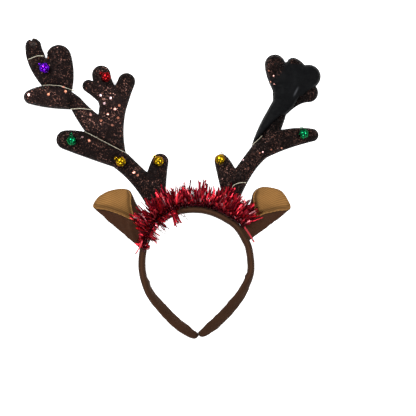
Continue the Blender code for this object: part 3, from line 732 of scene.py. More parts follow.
def band_cloth(colour):
    """Brown woven cloth of the band, on its own UV map in metres."""
    material, tree, sockets = new_material(
        "band_cloth", Sheen_Weight=0.04, Sheen_Roughness=0.5, Specular_IOR_Level=0.08
    )
    sockets["Sheen Tint"].default_value = (0.75, 0.5, 0.38, 1.0)
    weave = tree.group(effect(woven_threads), {"Vector": tree.flat(), "Pitch": 0.55 * MM})
    seam = tree.fade(tree.values("ridge"), 1.0, 1.55)
    tone = tinted(tree, opaque(colour), (weave["Shade"], tree.dye(0.014, 0.3), seam))
    tree.put(sockets["Base Color"], tone)
    tree.put(sockets["Roughness"], tree.fade(weave["Height"], 0.95, 0.8))
    bump(tree, sockets, weave["Height"], 0.12 * MM, 0.8)
    return material


def antler_cloth(cloth, glitter, backing):
    """Dark cloth with copper specks; where the cover attribute is 1 it is the
    smooth black backing. wear is the rubbed grey patch of the left antler and a
    painted highlight streak on the right one's backing, crease the painted shade
    in the folds, and tone the brightness of the cloth, partly its own tone and
    partly painted light and shade."""
    material, tree, sockets = new_material(
        "antler_cloth", Sheen_Weight=0.01, Sheen_Roughness=0.4, Specular_IOR_Level=0.06
    )
    place = tree.place()
    cover, wear_and_painted_highlight = tree.values("cover"), tree.values("wear_and_painted_highlight")
    open_cloth = tree.maths("SUBTRACT", 1.0, cover)
    weave = tree.group(effect(woven_threads), {"Vector": place, "Pitch": 0.7 * MM})
    dye = tree.dye(0.012, 0.5)
    fine = tree.group(effect(glitter_specks), {"Vector": place, "Size": 0.95 * MM, "Share": 0.34})
    wide = tree.group(effect(glitter_specks), {"Vector": place, "Size": 2.1 * MM, "Share": 0.05})
    base = tinted(tree, opaque(cloth), (weave["Shade"], dye))
    dull, warm = (
        opaque([(1.0 - share) * low + share * high for low, high in zip(cloth, glitter)])
        for share in (0.04, 0.22)
    )
    speck = tree.colour(tree.between(fine["Tone"], 0.3, 1.0), dull, warm)
    lit = tree.colour(fine["Mask"], base, speck)
    lit = tree.colour(wide["Mask"], lit, opaque(glitter))
    # The tone attribute brings in the cloth's own tone together with painted light and shade.
    lit = tinted(tree, lit, (tree.values("tone"),))
    # Grey of the rubbed patch on the left antler, and of the painted highlight streak on the right
    # one's black backing.
    lit = tree.colour(wear_and_painted_highlight, lit, (0.07, 0.066, 0.062, 1.0))
    back = tinted(tree, opaque(backing), (dye,))
    back = tree.colour(wear_and_painted_highlight, back, (0.055, 0.057, 0.063, 1.0))
    both = tree.colour(cover, lit, back)
    # Painted shade in the creases.
    dark = tree.fade(tree.values("crease"), 1.0, 0.2)
    tree.put(sockets["Base Color"], tinted(tree, both, (dark,)))
    shine = tree.maths("MAXIMUM", fine["Mask"], wide["Mask"])
    shine = tree.maths("MULTIPLY", shine, open_cloth)
    tree.put(sockets["Metallic"], tree.maths("MULTIPLY", shine, 0.7))
    rough = tree.fade(shine, 0.85, 0.42)
    rough = tree.maths("SUBTRACT", rough, tree.maths("MULTIPLY", cover, 0.28))
    tree.put(sockets["Roughness"], rough)
    height = tree.maths("ADD", weave["Height"], tree.maths("MULTIPLY", fine["Height"], 1.5))
    height = tree.maths("MULTIPLY", height, tree.fade(cover, 1.0, 0.3))
    bump(tree, sockets, height, 0.15 * MM, 0.7)
    return material


def ear_felt(colour):
    """Matt brown cloth of the ears' outside, with a fuzz of short fibres."""
    material, tree, sockets = new_material(
        "ear_cloth", Sheen_Weight=0.05, Sheen_Roughness=0.6, Specular_IOR_Level=0.06
    )
    sockets["Sheen Tint"].default_value = (0.8, 0.55, 0.4, 1.0)
    weave = tree.group(effect(woven_threads), {"Vector": tree.flat(), "Pitch": 0.6 * MM})
    edge = tree.fade(tree.values("edge"), 1.0, 0.55)
    tone = tinted(tree, opaque(colour), (weave["Shade"], tree.dye(0.011, 0.35), edge))
    tree.put(sockets["Base Color"], tone)
    tree.put(sockets["Roughness"], 0.92)
    fuzz = tree.noise(tree.place(), 2500.0, 3.0)
    bump(tree, sockets, tree.maths("ADD", weave["Height"], fuzz), 0.1 * MM, 0.7)
    return material


def ear_twill(colour):
    """Tan twill of the ears' lining, its ribs slanting across the ear."""
    material, tree, sockets = new_material(
        "ear_twill", Sheen_Weight=0.06, Sheen_Roughness=0.5, Specular_IOR_Level=0.12
    )
    ribs = tree.group(effect(twill_ribs), {"Vector": tree.flat(), "Pitch": 3.0 * MM})
    edge = tree.fade(tree.values("edge"), 1.0, 0.8)
    fold = tree.fade(tree.values("shade"), 0.0, 0.8)
    tone = tinted(tree, opaque(colour), (ribs["Shade"], tree.dye(0.015, 0.3), edge))
    deep = tinted(tree, opaque([0.42 * value for value in colour]), (ribs["Shade"],))
    tree.put(sockets["Base Color"], tree.colour(fold, tone, deep))
    tree.put(sockets["Roughness"], tree.fade(ribs["Height"], 0.95, 0.78))
    bump(tree, sockets, ribs["Height"], 0.25 * MM, 0.8)
    return material


def foil(name, roughness, metallic=1.0, coat=0.0, dents=0.5):
    """Thin metal foil, coloured by the piece's tint attribute."""
    material, tree, sockets = new_material(
        name, Specular_IOR_Level=0.5, Coat_Weight=coat, Coat_Roughness=0.12
    )
    scuffs = tree.scuffs(1.6 * MM)
    rubbed = tree.fade(scuffs["Rubbed"], 1.0, 0.85)
    tree.put(sockets["Base Color"], tinted(tree, tree.values("tint", "Color"), (rubbed,)))
    tree.put(sockets["Metallic"], metallic)
    rough = tree.fade(scuffs["Rubbed"], roughness, roughness + 0.15)
    tree.put(sockets["Roughness"], rough)
    bump(tree, sockets, scuffs["Height"], 0.15 * MM, dents)
    return material


def wound_thread(colour):
    """Pale metallic thread, its colour painted lighter and darker in small patches:
    painted light and shade, for plies lit and dark in turn.
    """
    material, tree, sockets = new_material("metal_thread", Specular_IOR_Level=0.5)
    scuffs = tree.scuffs(0.9 * MM)
    tone = tree.between(scuffs["Height"], 0.35, 0.65, 0.6, 1.2)
    tree.put(sockets["Base Color"], tinted(tree, opaque(colour), (tone,)))
    tree.put(sockets["Metallic"], 0.35)
    tree.put(sockets["Roughness"], tree.fade(scuffs["Rubbed"], 0.35, 0.5))
    return material


def bell_lacquer(name, colour):
    """Clear coloured lacquer on thin polished metal, with painted shade inside the
    slots and where the ball turns away from the view."""
    material, tree, sockets = new_material(
        name, Coat_Weight=0.06, Coat_Roughness=0.05, Specular_IOR_Level=0.5
    )
    sockets["Specular Tint"].default_value = opaque(colour)
    scuffs = tree.scuffs(2.2 * MM)
    hollow = tree.values("hollow")
    rubbed = tree.fade(scuffs["Rubbed"], 1.0, 0.92)
    # Painted shade: the colour darkens where the ball turns away from the view.
    facing = tree.add("LayerWeight", {"Blend": 0.5}).outputs["Facing"]
    rim = tree.between(facing, 0.10, 0.62, 1.0, 0.10)
    # Painted shade inside the slots.
    slots = tree.fade(hollow, 1.0, 0.15)
    tree.put(sockets["Base Color"], tinted(tree, opaque(colour), (rubbed, slots, rim)))
    tree.put(sockets["Metallic"], tree.fade(hollow, 1.0, 0.3))
    tree.put(sockets["Roughness"], tree.fade(scuffs["Rubbed"], 0.20, 0.24))
    bump(tree, sockets, scuffs["Height"], 0.1 * MM, 0.01)
    return material


def floor_paper(colour):
    """Plain white paper with the faintest fibre in it."""
    material, tree, sockets = new_material("floor_paper", Specular_IOR_Level=0.1)
    tree.put(sockets["Base Color"], tinted(tree, opaque(colour), (tree.dye(0.004, 0.01),)))
    tree.put(sockets["Roughness"], 0.95)
    sockets["Emission Color"].default_value = (1.0, 1.0, 1.0, 1.0)
    sockets["Emission Strength"].default_value = 0.80
    return material


# Head band
def band_surface(wrinkle):
    """Cloth sleeve: a squared oval of the strip's width and thickness carried along
    the centre line, turned by the twist and rounded off at both ends. Wrinkles are
    wave noise stretched along the band, and a raised hem runs along its front edge."""
    rings, sides = SLEEVE_RINGS, SLEEVE_SIDES
    ends = END_ROUND / BAND_LENGTH
    middle = np.linspace(ends, 1.0 - ends, rings - 24)
    tip = ends * (1.0 - np.cos(np.linspace(0.06, 1.0, 12, endpoint=False) * math.pi / 2.0))
    shares = np.concatenate((tip, middle, 1.0 - tip[::-1]))
    rows = along(BAND_LINE, shares)
    outward = band_places(shares)[1]
    inside = np.minimum(shares, 1.0 - shares) / ends
    size = np.sqrt(np.clip(1.0 - np.clip(1.0 - inside, 0.0, 1.0) ** 2, 0.0, 1.0))
    taper = soft_step(0.0, 1.0, np.minimum(shares, 1.0 - shares) * BAND_LENGTH / END_TAPER)
    turn = (np.arange(sides) + 0.5) * 2.0 * math.pi / sides
    across, up = np.cos(turn), np.sin(turn)
    thin = np.sign(across) * np.abs(across) ** BAND_SQUARE * BAND_THICK / 2.0
    deep = np.sign(up) * np.abs(up) ** BAND_SQUARE * BAND_DEPTH / 2.0
    deep = deep * (0.58 + 0.42 * taper)[:, None]
    run, round_way = np.meshgrid(shares * BAND_LENGTH, turn * 4.0 * MM, indexing="ij")
    noise = wave_noise(np.dstack((run * 0.6, round_way)), 5.0 * MM, 3)
    noise += 0.6 * wave_noise(np.dstack((run, 0.3 * round_way)), 13.0 * MM, 4)
    twisted = rows[:, 2:3] / TWIST_RIGHT
    swell = 1.0 + wrinkle / BAND_THICK * noise * (0.6 + 0.8 * twisted)
    ridge = np.exp(-(((turn - math.pi / 2.0) / 0.17) ** 2))
    hem = np.exp(-(((turn - 1.25 * math.pi) / 0.13) ** 2))
    swell = swell + 0.035 * (ridge + hem)[None]
    lean = np.where(rows[:, 0] < 0.0, -rows[:, 2], rows[:, 2])[:, None]
    flat = size[:, None] * swell * (thin * np.cos(lean) - deep * np.sin(lean))
    high = size[:, None] * swell * (thin * np.sin(lean) + deep * np.cos(lean))
    high = high - high.min(axis=1, keepdims=True)
    flat = flat + (1.0 - taper[:, None]) * 1.6 * MM
    for share, rise in KINKS:
        near = np.exp(-(((shares - share) * BAND_LENGTH / (2.6 * MM)) ** 2))[:, None]
        flat = flat - near * rise * MM * np.clip(-flat / (2.5 * MM), 0.0, 1.0)
    plan = rows[:, None, :2] + outward[:, None] * flat[:, :, None]
    points = np.dstack((plan, high)).reshape(-1, 3)
    body, i, j = grid_faces(rings, sides, wrap_columns=True)
    lengths = np.append(shares, 1.0)[i] * BAND_LENGTH
    body_uv = np.dstack((lengths, j * 2.0 * math.pi / sides * 5.0 * MM))
    caps = np.vstack((np.arange(sides)[::-1], np.arange(sides) + (rings - 1) * sides))
    faces = [body[:, ::-1], caps]
    uv = np.vstack((body_uv[:, ::-1].reshape(-1, 2), np.zeros((2 * sides, 2))))
    mark = np.tile(np.maximum(ridge, hem), rings) * np.repeat(1.0 - twisted[:, 0], sides)
    return points, faces, uv, mark


# Antlers
def fill_with_discs(rows, side, layers=(0, 1)):
    """Discs along each tine: x, y and radius on the parabola through root, middle
    and tip."""
    t = np.linspace(0.0, 1.0, 56)[:, None]
    weights = np.hstack(((2 * t - 1) * (t - 1), 4 * t * (1 - t), t * (2 * t - 1)))
    scale = np.array((side * ANTLER_REACH, ANTLER_RISE, TINE_HALF))
    chosen = [np.array(row[:9]).reshape(3, 3) * scale for row in rows if row[9] in layers]
    return np.vstack([weights @ row for row in chosen])


def depth_in(points, discs, nicks=()):
    """How far inside the union of the discs each point lies, clear of the band and
    of the nicks in the rim."""
    def part(some):
        away = np.linalg.norm(some[:, None, :] - discs[None, :, :2], axis=2)
        inside = (discs[None, :, 2] - away).max(axis=1)
        inside = np.minimum(inside, distance_outside_band(some) - BAND_THICK / 2.0 - GAP)
        for x, y, radius in nicks:
            inside = np.minimum(inside, np.hypot(some[:, 0] - x, some[:, 1] - y) - radius)
        return inside
    return by_parts(part, points)


class PaddedSheet:
    """A flat outline filled with a square grid, whose rim is moved onto the outline.

    plan holds the x and y of every grid node, used and rim say which nodes belong
    to the sheet and to its rim, and cells says which grid cells are cloth."""

    def __init__(self, discs, cell, nicks=()):
        self.discs, self.cell, self.nicks = discs, cell, nicks
        low = (discs[:, :2] - discs[:, 2:]).min(axis=0) - 2.0 * cell
        high = (discs[:, :2] + discs[:, 2:]).max(axis=0) + 2.0 * cell
        self.low = low
        self.size = np.ceil((high - low) / cell).astype(int) + 1
        steps = [low[k] + cell * np.arange(self.size[k]) for k in (0, 1)]
        self.plan = np.dstack(np.meshgrid(*steps, indexing="ij"))
        self.raw = self.depth(self.plan.reshape(-1, 2)).reshape(self.size)
        raw = self.raw
        middle = (raw[1:, 1:] + raw[1:, :-1] + raw[:-1, 1:] + raw[:-1, :-1]) / 4
        self.cells = self.without_corner_touches(middle > 0.0)
        around = np.pad(self.cells, 1).astype(int)
        around = around[1:, 1:] + around[1:, :-1] + around[:-1, 1:] + around[:-1, :-1]
        self.used = around > 0
        self.rim = self.used & (around < 4)
        self.snap()
        self.relax()

    def depth(self, points):
        return depth_in(points, self.discs, self.nicks)

    @staticmethod
    def without_corner_touches(cells):
        """Fill both sides of each node where two cells meet only at a corner."""
        cells = cells.copy()
        for _ in range(4):
            a, b = cells[:-1, :-1], cells[:-1, 1:]
            c, d = cells[1:, :-1], cells[1:, 1:]
            rising, falling = a & d & ~b & ~c, b & c & ~a & ~d
            if not (rising | falling).any():
                break
            cells[:-1, 1:] |= rising
            cells[1:, 1:] |= falling
        return cells

    def snap(self):
        """Move the rim onto the outline, down the slope of the depth."""
        rim = self.plan[self.rim]
        nudge = 0.05 * MM
        for _ in range(5):
            depth = self.depth(rim)
            slope = np.column_stack([
                (self.depth(rim + step) - self.depth(rim - step)) / (2.0 * nudge)
                for step in (np.array((nudge, 0.0)), np.array((0.0, nudge)))
            ])
            rim = rim - slope * (depth / np.maximum((slope**2).sum(axis=1), 0.25))[:, None]
        self.plan[self.rim] = rim

    def relax(self):
        """Even out the nodes next to the rim: each moves to its neighbours' mean."""
        inner = self.used & ~self.rim & (self.raw < 3.0 * self.cell)
        for _ in range(4):
            mean = (
                np.roll(self.plan, 1, 0) + np.roll(self.plan, -1, 0)
                + np.roll(self.plan, 1, 1) + np.roll(self.plan, -1, 1)
            ) / 4.0
            self.plan[inner] = mean[inner]

    def swelling(self):
        """Root of twice the solution of laplace(p) = -1 with p = 0 at the rim: the
        form of a bag blown up over the outline, a half circle over a strip."""
        inside = self.used & ~self.rim
        p = np.where(inside, np.maximum(self.raw, 0.0) * 6.0 * MM, 0.0)
        for _ in range(SWELL_ROUNDS):
            p[1:-1, 1:-1] = (
                p[2:, 1:-1] + p[:-2, 1:-1] + p[1:-1, 2:] + p[1:-1, :-2] + self.cell**2
            ) / 4.0
            p[~inside] = 0.0
        return np.sqrt(2.0 * p)

    def spread(self, values, rest=0.0, rim=None):
        """A grid that holds the values of the used nodes, and rest elsewhere; the rim
        may have a value of its own."""
        grid = np.full(self.size, rest)
        grid[self.used] = values
        if rim is not None:
            grid[self.rim] = rim
        return grid

    def sample(self, grid, points, outside=0.0):
        """Bilinear value of a grid at points, outside where the sheet isn't."""
        place = np.clip((points - self.low) / self.cell, 0.0, np.array(self.size) - 1.001)
        i, j = place.astype(int).T
        u, v = (place - np.column_stack((i, j))).T
        value = (
            grid[i, j] * (1 - u) * (1 - v) + grid[i + 1, j] * u * (1 - v)
            + grid[i, j + 1] * (1 - u) * v + grid[i + 1, j + 1] * u * v
        )
        inside = self.cells[i.clip(0, self.size[0] - 2), j.clip(0, self.size[1] - 2)]
        return np.where(inside, value, outside)

    def closed(self, front, back, values):
        """Points, faces and point values of the two sheets, sewn at the rim."""
        count = int(self.used.sum())
        upper = np.full(self.size, -1)
        upper[self.used] = np.arange(count)
        inner = self.used & ~self.rim
        lower = upper.copy()
        lower[inner] = count + np.arange(int(inner.sum()))
        points = np.vstack((
            np.column_stack((self.plan[self.used], front[self.used])),
            np.column_stack((self.plan[inner], back[inner])),
        ))
        i, j = np.nonzero(self.cells)
        corners = ((i, j), (i + 1, j), (i + 1, j + 1), (i, j + 1))
        top = np.column_stack([upper[a, b] for a, b in corners])
        base = np.column_stack([lower[a, b] for a, b in corners])[:, ::-1]
        values = {
            key: np.concatenate((value[self.used], back_value[inner]))
            for key, (value, back_value) in values.items()
        }
        return points, [top, base], values


def blown_up(sheet, front, back, pressure):
    """How far the nodes of the front and of the back move up or down when the closed
    case is blown up: Blender's cloth, held at the rim, cut a little large and pressed
    from inside for CLOTH_FRAMES frames, without gravity."""
    points, faces, _ = sheet.closed(front, back, {})
    mesh = bpy.data.meshes.new("cloth_trial")
    mesh.from_pydata(points.tolist(), [], np.vstack(faces).tolist())
    trial = bpy.data.objects.new("cloth_trial", mesh)
    bpy.context.scene.collection.objects.link(trial)
    seam = trial.vertex_groups.new(name="seam")
    seam.add(np.nonzero(sheet.rim[sheet.used])[0].tolist(), 1.0, "REPLACE")
    cloth = trial.modifiers.new("cloth", "CLOTH").settings
    cloth.vertex_group_mass = "seam"
    cloth.use_pressure = True
    cloth.uniform_pressure_force = pressure
    cloth.mass = CLOTH_MASS
    cloth.compression_stiffness = cloth.shear_stiffness = CLOTH_SHEAR
    cloth.bending_stiffness = CLOTH_BEND
    cloth.shrink_min = -CLOTH_SPARE
    cloth.effector_weights.gravity = 0.0
    for frame in range(1, CLOTH_FRAMES + 1):
        bpy.context.scene.frame_set(frame)
    solved = trial.evaluated_get(bpy.context.evaluated_depsgraph_get())
    moved = np.empty(len(points) * 3, np.float32)
    solved.data.vertices.foreach_get("co", moved)
    bpy.context.scene.frame_set(1)
    bpy.data.objects.remove(trial)
    bpy.data.meshes.remove(mesh)
    rise = np.clip(moved.reshape(-1, 3)[:, 2] - points[:, 2], -CLOTH_CAP, CLOTH_CAP)
    rises = np.zeros((2, *sheet.size))
    count = int(sheet.used.sum())
    rises[0][sheet.used] = rise[:count]
    rises[1][sheet.used & ~sheet.rim] = rise[count:]
    return rises


class Antler:
    """Front and back of one padded antler on the nodes of its sheet."""

    def __init__(self, side, tines, threads, nicks, fold_root, cell, pucker, pressure):
        self.side = side
        self.scale = np.array((side * ANTLER_REACH, ANTLER_RISE))
        places = [(*(np.array(nick[:2]) * self.scale), nick[2] * MM) for nick in nicks]
        self.sheet = PaddedSheet(fill_with_discs(tines, side), cell, places)
        self.over = fill_with_discs(tines, side, layers=(1,))
        self.threads = [smooth_through(np.array(run) * self.scale, 12) for run in threads]
        sheet = self.sheet
        plan = sheet.plan[sheet.used]
        depth = sheet.depth(plan)
        rim = sheet.plan[sheet.rim]
        near = by_parts(lambda some: self.nearest(some, rim), plan, 1500)
        far, foot = near[:, 0], near[:, 1:]
        t = soft_step(1.0 * MM, 2.5 * MM, depth)
        self.true = np.maximum(depth * (1.0 - t) + np.maximum(depth, far) * t, 0.0)
        rise = quarter_round(self.true, PAD_SOFT)
        swell = sheet.swelling()[sheet.used]
        rise = rise * (0.78 + 0.26 * np.clip(swell / (11.0 * MM), 0.0, 1.3))
        waves = 0.055 * wave_noise(plan, 15.0 * MM, 11) + 0.02 * wave_noise(plan, 5.0 * MM, 12)
        rise *= 1.0 + waves
        gathers = wave_noise(foot, GATHER_LENGTH, 13) * np.exp(-self.true / GATHER_REACH)
        rise += pucker / PAD_FRONT * gathers * np.clip(self.true / (1.2 * MM), 0.0, 1.0)
        inner = np.clip(self.true / (2.0 * MM), 0.0, 1.0)
        free = inner.copy()
        for run in self.threads:
            off = np.linalg.norm(plan[:, None] - run[None, ::2], axis=2).min(axis=1)
            rise *= 1.0 - GROOVE * np.exp(-((off / GROOVE_HALF) ** 2))
            free *= 1.0 - 0.8 * np.exp(-((off / GROOVE_HELD) ** 2))
        cover = depth_in(plan, self.over)
        root = np.linalg.norm(plan - np.array(fold_root) * self.scale, axis=1)
        held = soft_step(5.0 * MM, 15.0 * MM, root)
        step = FOLD_LIFT * quarter_round(np.maximum(cover, 0.0), FOLD_SOFT)
        dip = FOLD_DIP * np.exp(-((np.minimum(cover, 0.0) / FOLD_DIP_HALF) ** 2)) * (cover <= 0.0)
        front = SEAM_LEVEL + PAD_FRONT * rise + (step - dip) * held * inner
        back = SEAM_LEVEL * (1.0 - quarter_round(self.true, BACK_SOFT))
        self.front = sheet.spread(front, SEAM_LEVEL, SEAM_LEVEL)
        self.back = sheet.spread(back, SEAM_LEVEL, SEAM_LEVEL)
        self.cover, self.held = sheet.spread(cover), sheet.spread(held)
        self.inset = sheet.spread(self.true)
        rough = PaddedSheet(fill_with_discs(tines, side), CLOTH_CELL, places)
        nodes = rough.plan.reshape(-1, 2)
        slack = [
            SEAM_LEVEL + CLOTH_START * (sheet.sample(grid, nodes, SEAM_LEVEL) - SEAM_LEVEL)
            for grid in (self.front, self.back)
        ]
        rises = blown_up(rough, *(grid.reshape(rough.size) for grid in slack), pressure)
        for grid, rise in zip((self.front, self.back), rises):
            start = SEAM_LEVEL + CLOTH_START * (grid[sheet.used] - SEAM_LEVEL)
            grid[sheet.used] = np.maximum(start + rough.sample(rise, plan) * free, 0.0)

    @staticmethod
    def nearest(points, rim):
        """Distance to the nearest rim point, and that point."""
        away = np.linalg.norm(points[:, None] - rim[None], axis=2)
        chosen = away.argmin(axis=1)
        return np.column_stack((away[np.arange(len(points)), chosen], rim[chosen]))

    def level(self, points):
        """Height of the front at points of the plan."""
        return self.sheet.sample(self.front, points, SEAM_LEVEL)

    def slope_normal(self, points):
        """Unit normal of the front at points of the plan."""
        step = 1.2 * MM
        dx = self.level(points + (step, 0.0)) - self.level(points - (step, 0.0))
        dy = self.level(points + (0.0, step)) - self.level(points - (0.0, step))
        return unit(np.column_stack((-dx, -dy, np.full(len(points), 2.0 * step))))


ANTLERS = {}


def shares_of(antler):
    """The shares across and up of every node of an antler."""
    return (antler.sheet.plan / antler.scale).transpose(2, 0, 1)


def oval(x, y, across, up, wide, high):
    """Distance from a middle in shares, 1 on an oval of half width and height in mm."""
    return np.hypot((x - across) * ANTLER_REACH / wide, (y - up) * ANTLER_RISE / high) / MM


def tone_and_painted_light(antler, name):
    """How bright the cloth is from place to place, partly its own tone and partly
    painted light and shade: TONE, near 1 in painted lit ovals on the palm and the
    outer tine of the left antler, and low in the painted shadow where the right
    one turns over."""
    x, y = shares_of(antler)
    tone = np.full(antler.sheet.size, TONE)
    if name == "left":
        for *shape, value in LEFT_TONE_AND_PAINTED_LIGHT:
            tone = tone + (value - tone) * (1.0 - soft_step(0.4, 1.2, oval(x, y, *shape)))
        return tone
    # On the right antler, above the edge of the turned part, the cloth gets painted shadow.
    start, end = FOLD_EDGE * antler.scale
    along_edge, off_edge = unit(end - start), antler.sheet.plan - start
    above = along_edge[0] * off_edge[..., 1] - along_edge[1] * off_edge[..., 0]
    turned = soft_step(-0.2 * MM, 0.9 * MM, above)
    tone = tone * (1.0 - 0.25 * soft_step(0.16, 0.30, y))
    shade = 0.13 + 0.16 * soft_step(0.60, 0.72, y)
    return tone * (1.0 - turned) + shade * turned


def antler_masks(antler, name):
    """Where the backing shows, where the cloth is rubbed or carries a painted highlight, and where
    folds get painted shade.
    """
    sheet = antler.sheet
    x, y = shares_of(antler)
    # Painted shade in the crease beside the edge of the upper layer.
    edge = np.exp(-((np.minimum(antler.cover, 0.0) / (1.5 * MM)) ** 2)) * (antler.cover < 0.4 * MM)
    crease = edge * antler.held * (antler.cover > -6.0 * MM)
    wear_and_painted_highlight = np.zeros(sheet.size)
    cover = np.zeros(sheet.size)
    if name == "left":
        spot = oval(x, y, 0.940, 0.962, 3.6, 2.6)
        wear_and_painted_highlight = 0.45 * (1.0 - soft_step(0.5, 1.25, spot))
        # Painted shade in the bend at the root of the upper tine.
        bend = oval(x, y, 0.728, 0.622, 2.4, 6.0)
        crease = np.maximum(crease, 0.85 * np.exp(-(bend**2)))
    else:
        ragged = wave_noise(sheet.plan, 3.0 * MM, 21)
        cover = soft_step(-0.2 * MM, 0.4 * MM, antler.cover) * antler.held
        lobe = oval(x, y, 0.445, 0.842, 12.5, 15.0)
        shown = 1.0 - soft_step(0.70, 1.10, lobe + 0.10 * ragged)
        strip = oval(x, y, 0.575, 0.860, 9.0, 3.2)
        shown = np.maximum(shown, 1.0 - soft_step(0.8, 1.1, strip + 0.1 * ragged))
        cover = cover * (1.0 - shown)
        # Painted highlight: a streak along a fold of the black backing.
        start, way = np.array((0.5606, 0.657)), np.array((0.0243, 0.048))
        run = np.clip(((x - start[0]) * way[0] + (y - start[1]) * way[1]) / (way @ way), 0.0, 1.0)
        off_x, off_y = x - start[0] - way[0] * run, y - start[1] - way[1] * run
        off = np.hypot(off_x * ANTLER_REACH, off_y * ANTLER_RISE)
        wear_and_painted_highlight = np.exp(-((off / (0.8 * MM)) ** 2)) * np.sin(math.pi * (0.1 + 0.8 * run))
    return cover, wear_and_painted_highlight, np.clip(crease, 0.0, 1.0)


def scatter(antler, cover, count, margin, seed):
    """Random places on the front that lie in the cloth, and not on the backing."""
    sheet = antler.sheet
    chance = np.random.default_rng(seed)
    high = sheet.low + sheet.cell * (np.array(sheet.size) - 1)
    places = chance.uniform(sheet.low, high, (count * 8, 2))
    kept = sheet.sample(antler.inset, places, -1.0) > margin
    kept &= sheet.sample(cover, places, 1.0) < 0.5
    return places[kept][:count]


def small_discs(antler, places, radius, tilt, lift, sides, seed):
    """Flat lenses on the front: a rim of points and a raised and a sunk middle, laid
    on the slope of the cloth and tilted at random."""
    chance = np.random.default_rng(seed)
    count = len(places)
    normal = unit(antler.slope_normal(places) + chance.normal(scale=tilt, size=(count, 3)))
    turn = chance.uniform(0.0, 2.0 * math.pi, count)[:, None]
    turn = turn + np.arange(sides) * 2.0 * math.pi / sides
    first = unit(np.cross(normal, (0.3, 1.0, 0.2)))
    second = np.cross(normal, first)
    radius = np.broadcast_to(radius, (count,))[:, None, None]
    centre = np.column_stack((places, antler.level(places))) + normal * lift
    ring = centre[:, None] + radius * circle(first, second, turn)
    thick = radius[:, 0] * 0.10
    points = np.concatenate(
        (ring, (centre + normal * thick)[:, None], (centre - normal * thick)[:, None]), axis=1
    )
    edge, after = ring_edges(sides)
    top = np.column_stack((edge, after, np.full(sides, sides)))
    base = np.column_stack((after, edge, np.full(sides, sides + 1)))
    shape = np.vstack((top, base))
    faces = shape[None] + (np.arange(count) * (sides + 2))[:, None, None]
    return points.reshape(-1, 3), faces.reshape(-1, 3)


def thread_path(antler, run):
    """A wound thread: over the front on the cloth, down past both rims and back
    beneath, each end carried half-way under the tine."""
    lead = unit(run[0] - run[1])
    tail = unit(run[-1] - run[-2])
    front = along(run, np.linspace(0.0, 1.0, 90))
    rise = antler.level(front)
    rise = np.maximum(rise, SEAM_LEVEL + 0.2 * MM)
    front = np.column_stack((front, rise + 0.22 * MM))
    turn = np.linspace(0.0, 1.0, 10)[1:, None]
    under = []
    for end, way in ((front[0], lead), (front[-1], tail)):
        level = np.array((*(end[:2] + way * 0.5 * MM), SEAM_LEVEL))
        below = np.array((*(end[:2] - way * 1.5 * MM), 0.25 * MM))
        bend = (1 - turn) ** 2 * end + 2 * turn * (1 - turn) * level + turn**2 * below
        under.append(bend)
    points = np.vstack((under[0][::-1], front, under[1]))
    return along(points, np.linspace(0.0, 1.0, 150), axes=3)


def two_ply(path, side, ply, pitch):
    """Two round plies, each a helix of the given radius and pitch round the path."""
    way = unit(np.gradient(path, axis=0))
    side = unit(side - (way @ side)[:, None] * way)
    other = np.cross(way, side)
    run = np.concatenate(([0.0], np.cumsum(np.linalg.norm(np.diff(path, axis=0), axis=1))))
    parts = []
    for phase in (0.0, math.pi):
        turn = (2.0 * math.pi * run / pitch + phase)[:, None]
        strand = path + ply * (side * np.cos(turn) + other * np.sin(turn))
        parts.append(tube(strand, side, ply * 1.05, 6))
    return join_points(parts)


# Ears
def ear_skin(ear, inset, buckle=0.0, round_count=160, sections=48):
    """Skin of the folded ear, moved inwards by inset: straight lines run from an
    upright oval on the band's face to the rim, a smooth closed curve through its
    rows. Between them the cloth buckles in slow waves, whose height follows a half
    sine."""
    start, end = ear["seat"]
    anchor = band_places([start])[0][0]
    rim = np.array(ear["rim"]) * (EAR_LONG, EAR_WIDE, EAR_DEEP)
    rim[:, 0] *= ear["side"]
    rim[:, 2] += GAP
    rim[:, :2] += anchor
    mouth = smooth_through(rim, round_count // len(rim), closed=True)
    turn = np.linspace(0.0, 2.0 * math.pi, round_count, endpoint=False)
    share = start + (end - start) * (1.0 - np.cos(turn)) / 2.0
    high = EAR_BASE_DEEP / 2.0 * (1.0 - np.sin(turn)) + GAP
    here, outward = band_places(share)
    facing = np.column_stack((outward, np.zeros(round_count)))
    seat = np.column_stack((here, high)) + facing * (BAND_THICK / 2.0 - SEAT_SINK)
    blend = np.linspace(0.0, 1.0, sections)[:, None, None]
    skin = seat[None] * (1.0 - blend) + mouth[None] * blend
    ring = np.roll(skin, -1, axis=1) - np.roll(skin, 1, axis=1)
    normal = np.cross(ring, np.gradient(skin, axis=0))
    normal[0] -= facing * (normal[0] * facing).sum(axis=1, keepdims=True)
    normal = unit(normal)
    outer = skin - skin.mean(axis=1, keepdims=True)
    normal *= np.sign((normal * outer).sum())
    upper = soft_step(0.10, 0.45, (skin[..., 2] - GAP) / EAR_DEEP)
    slack = np.sin(math.pi * np.clip(blend[..., 0], 0.0, 1.0)) * upper
    waves = wave_noise(skin, 14.0 * MM, 31) + 0.5 * wave_noise(skin, 6.0 * MM, 32)
    skin = skin + normal * (buckle * slack * waves)[..., None]
    return skin - normal * inset, blend[..., 0]


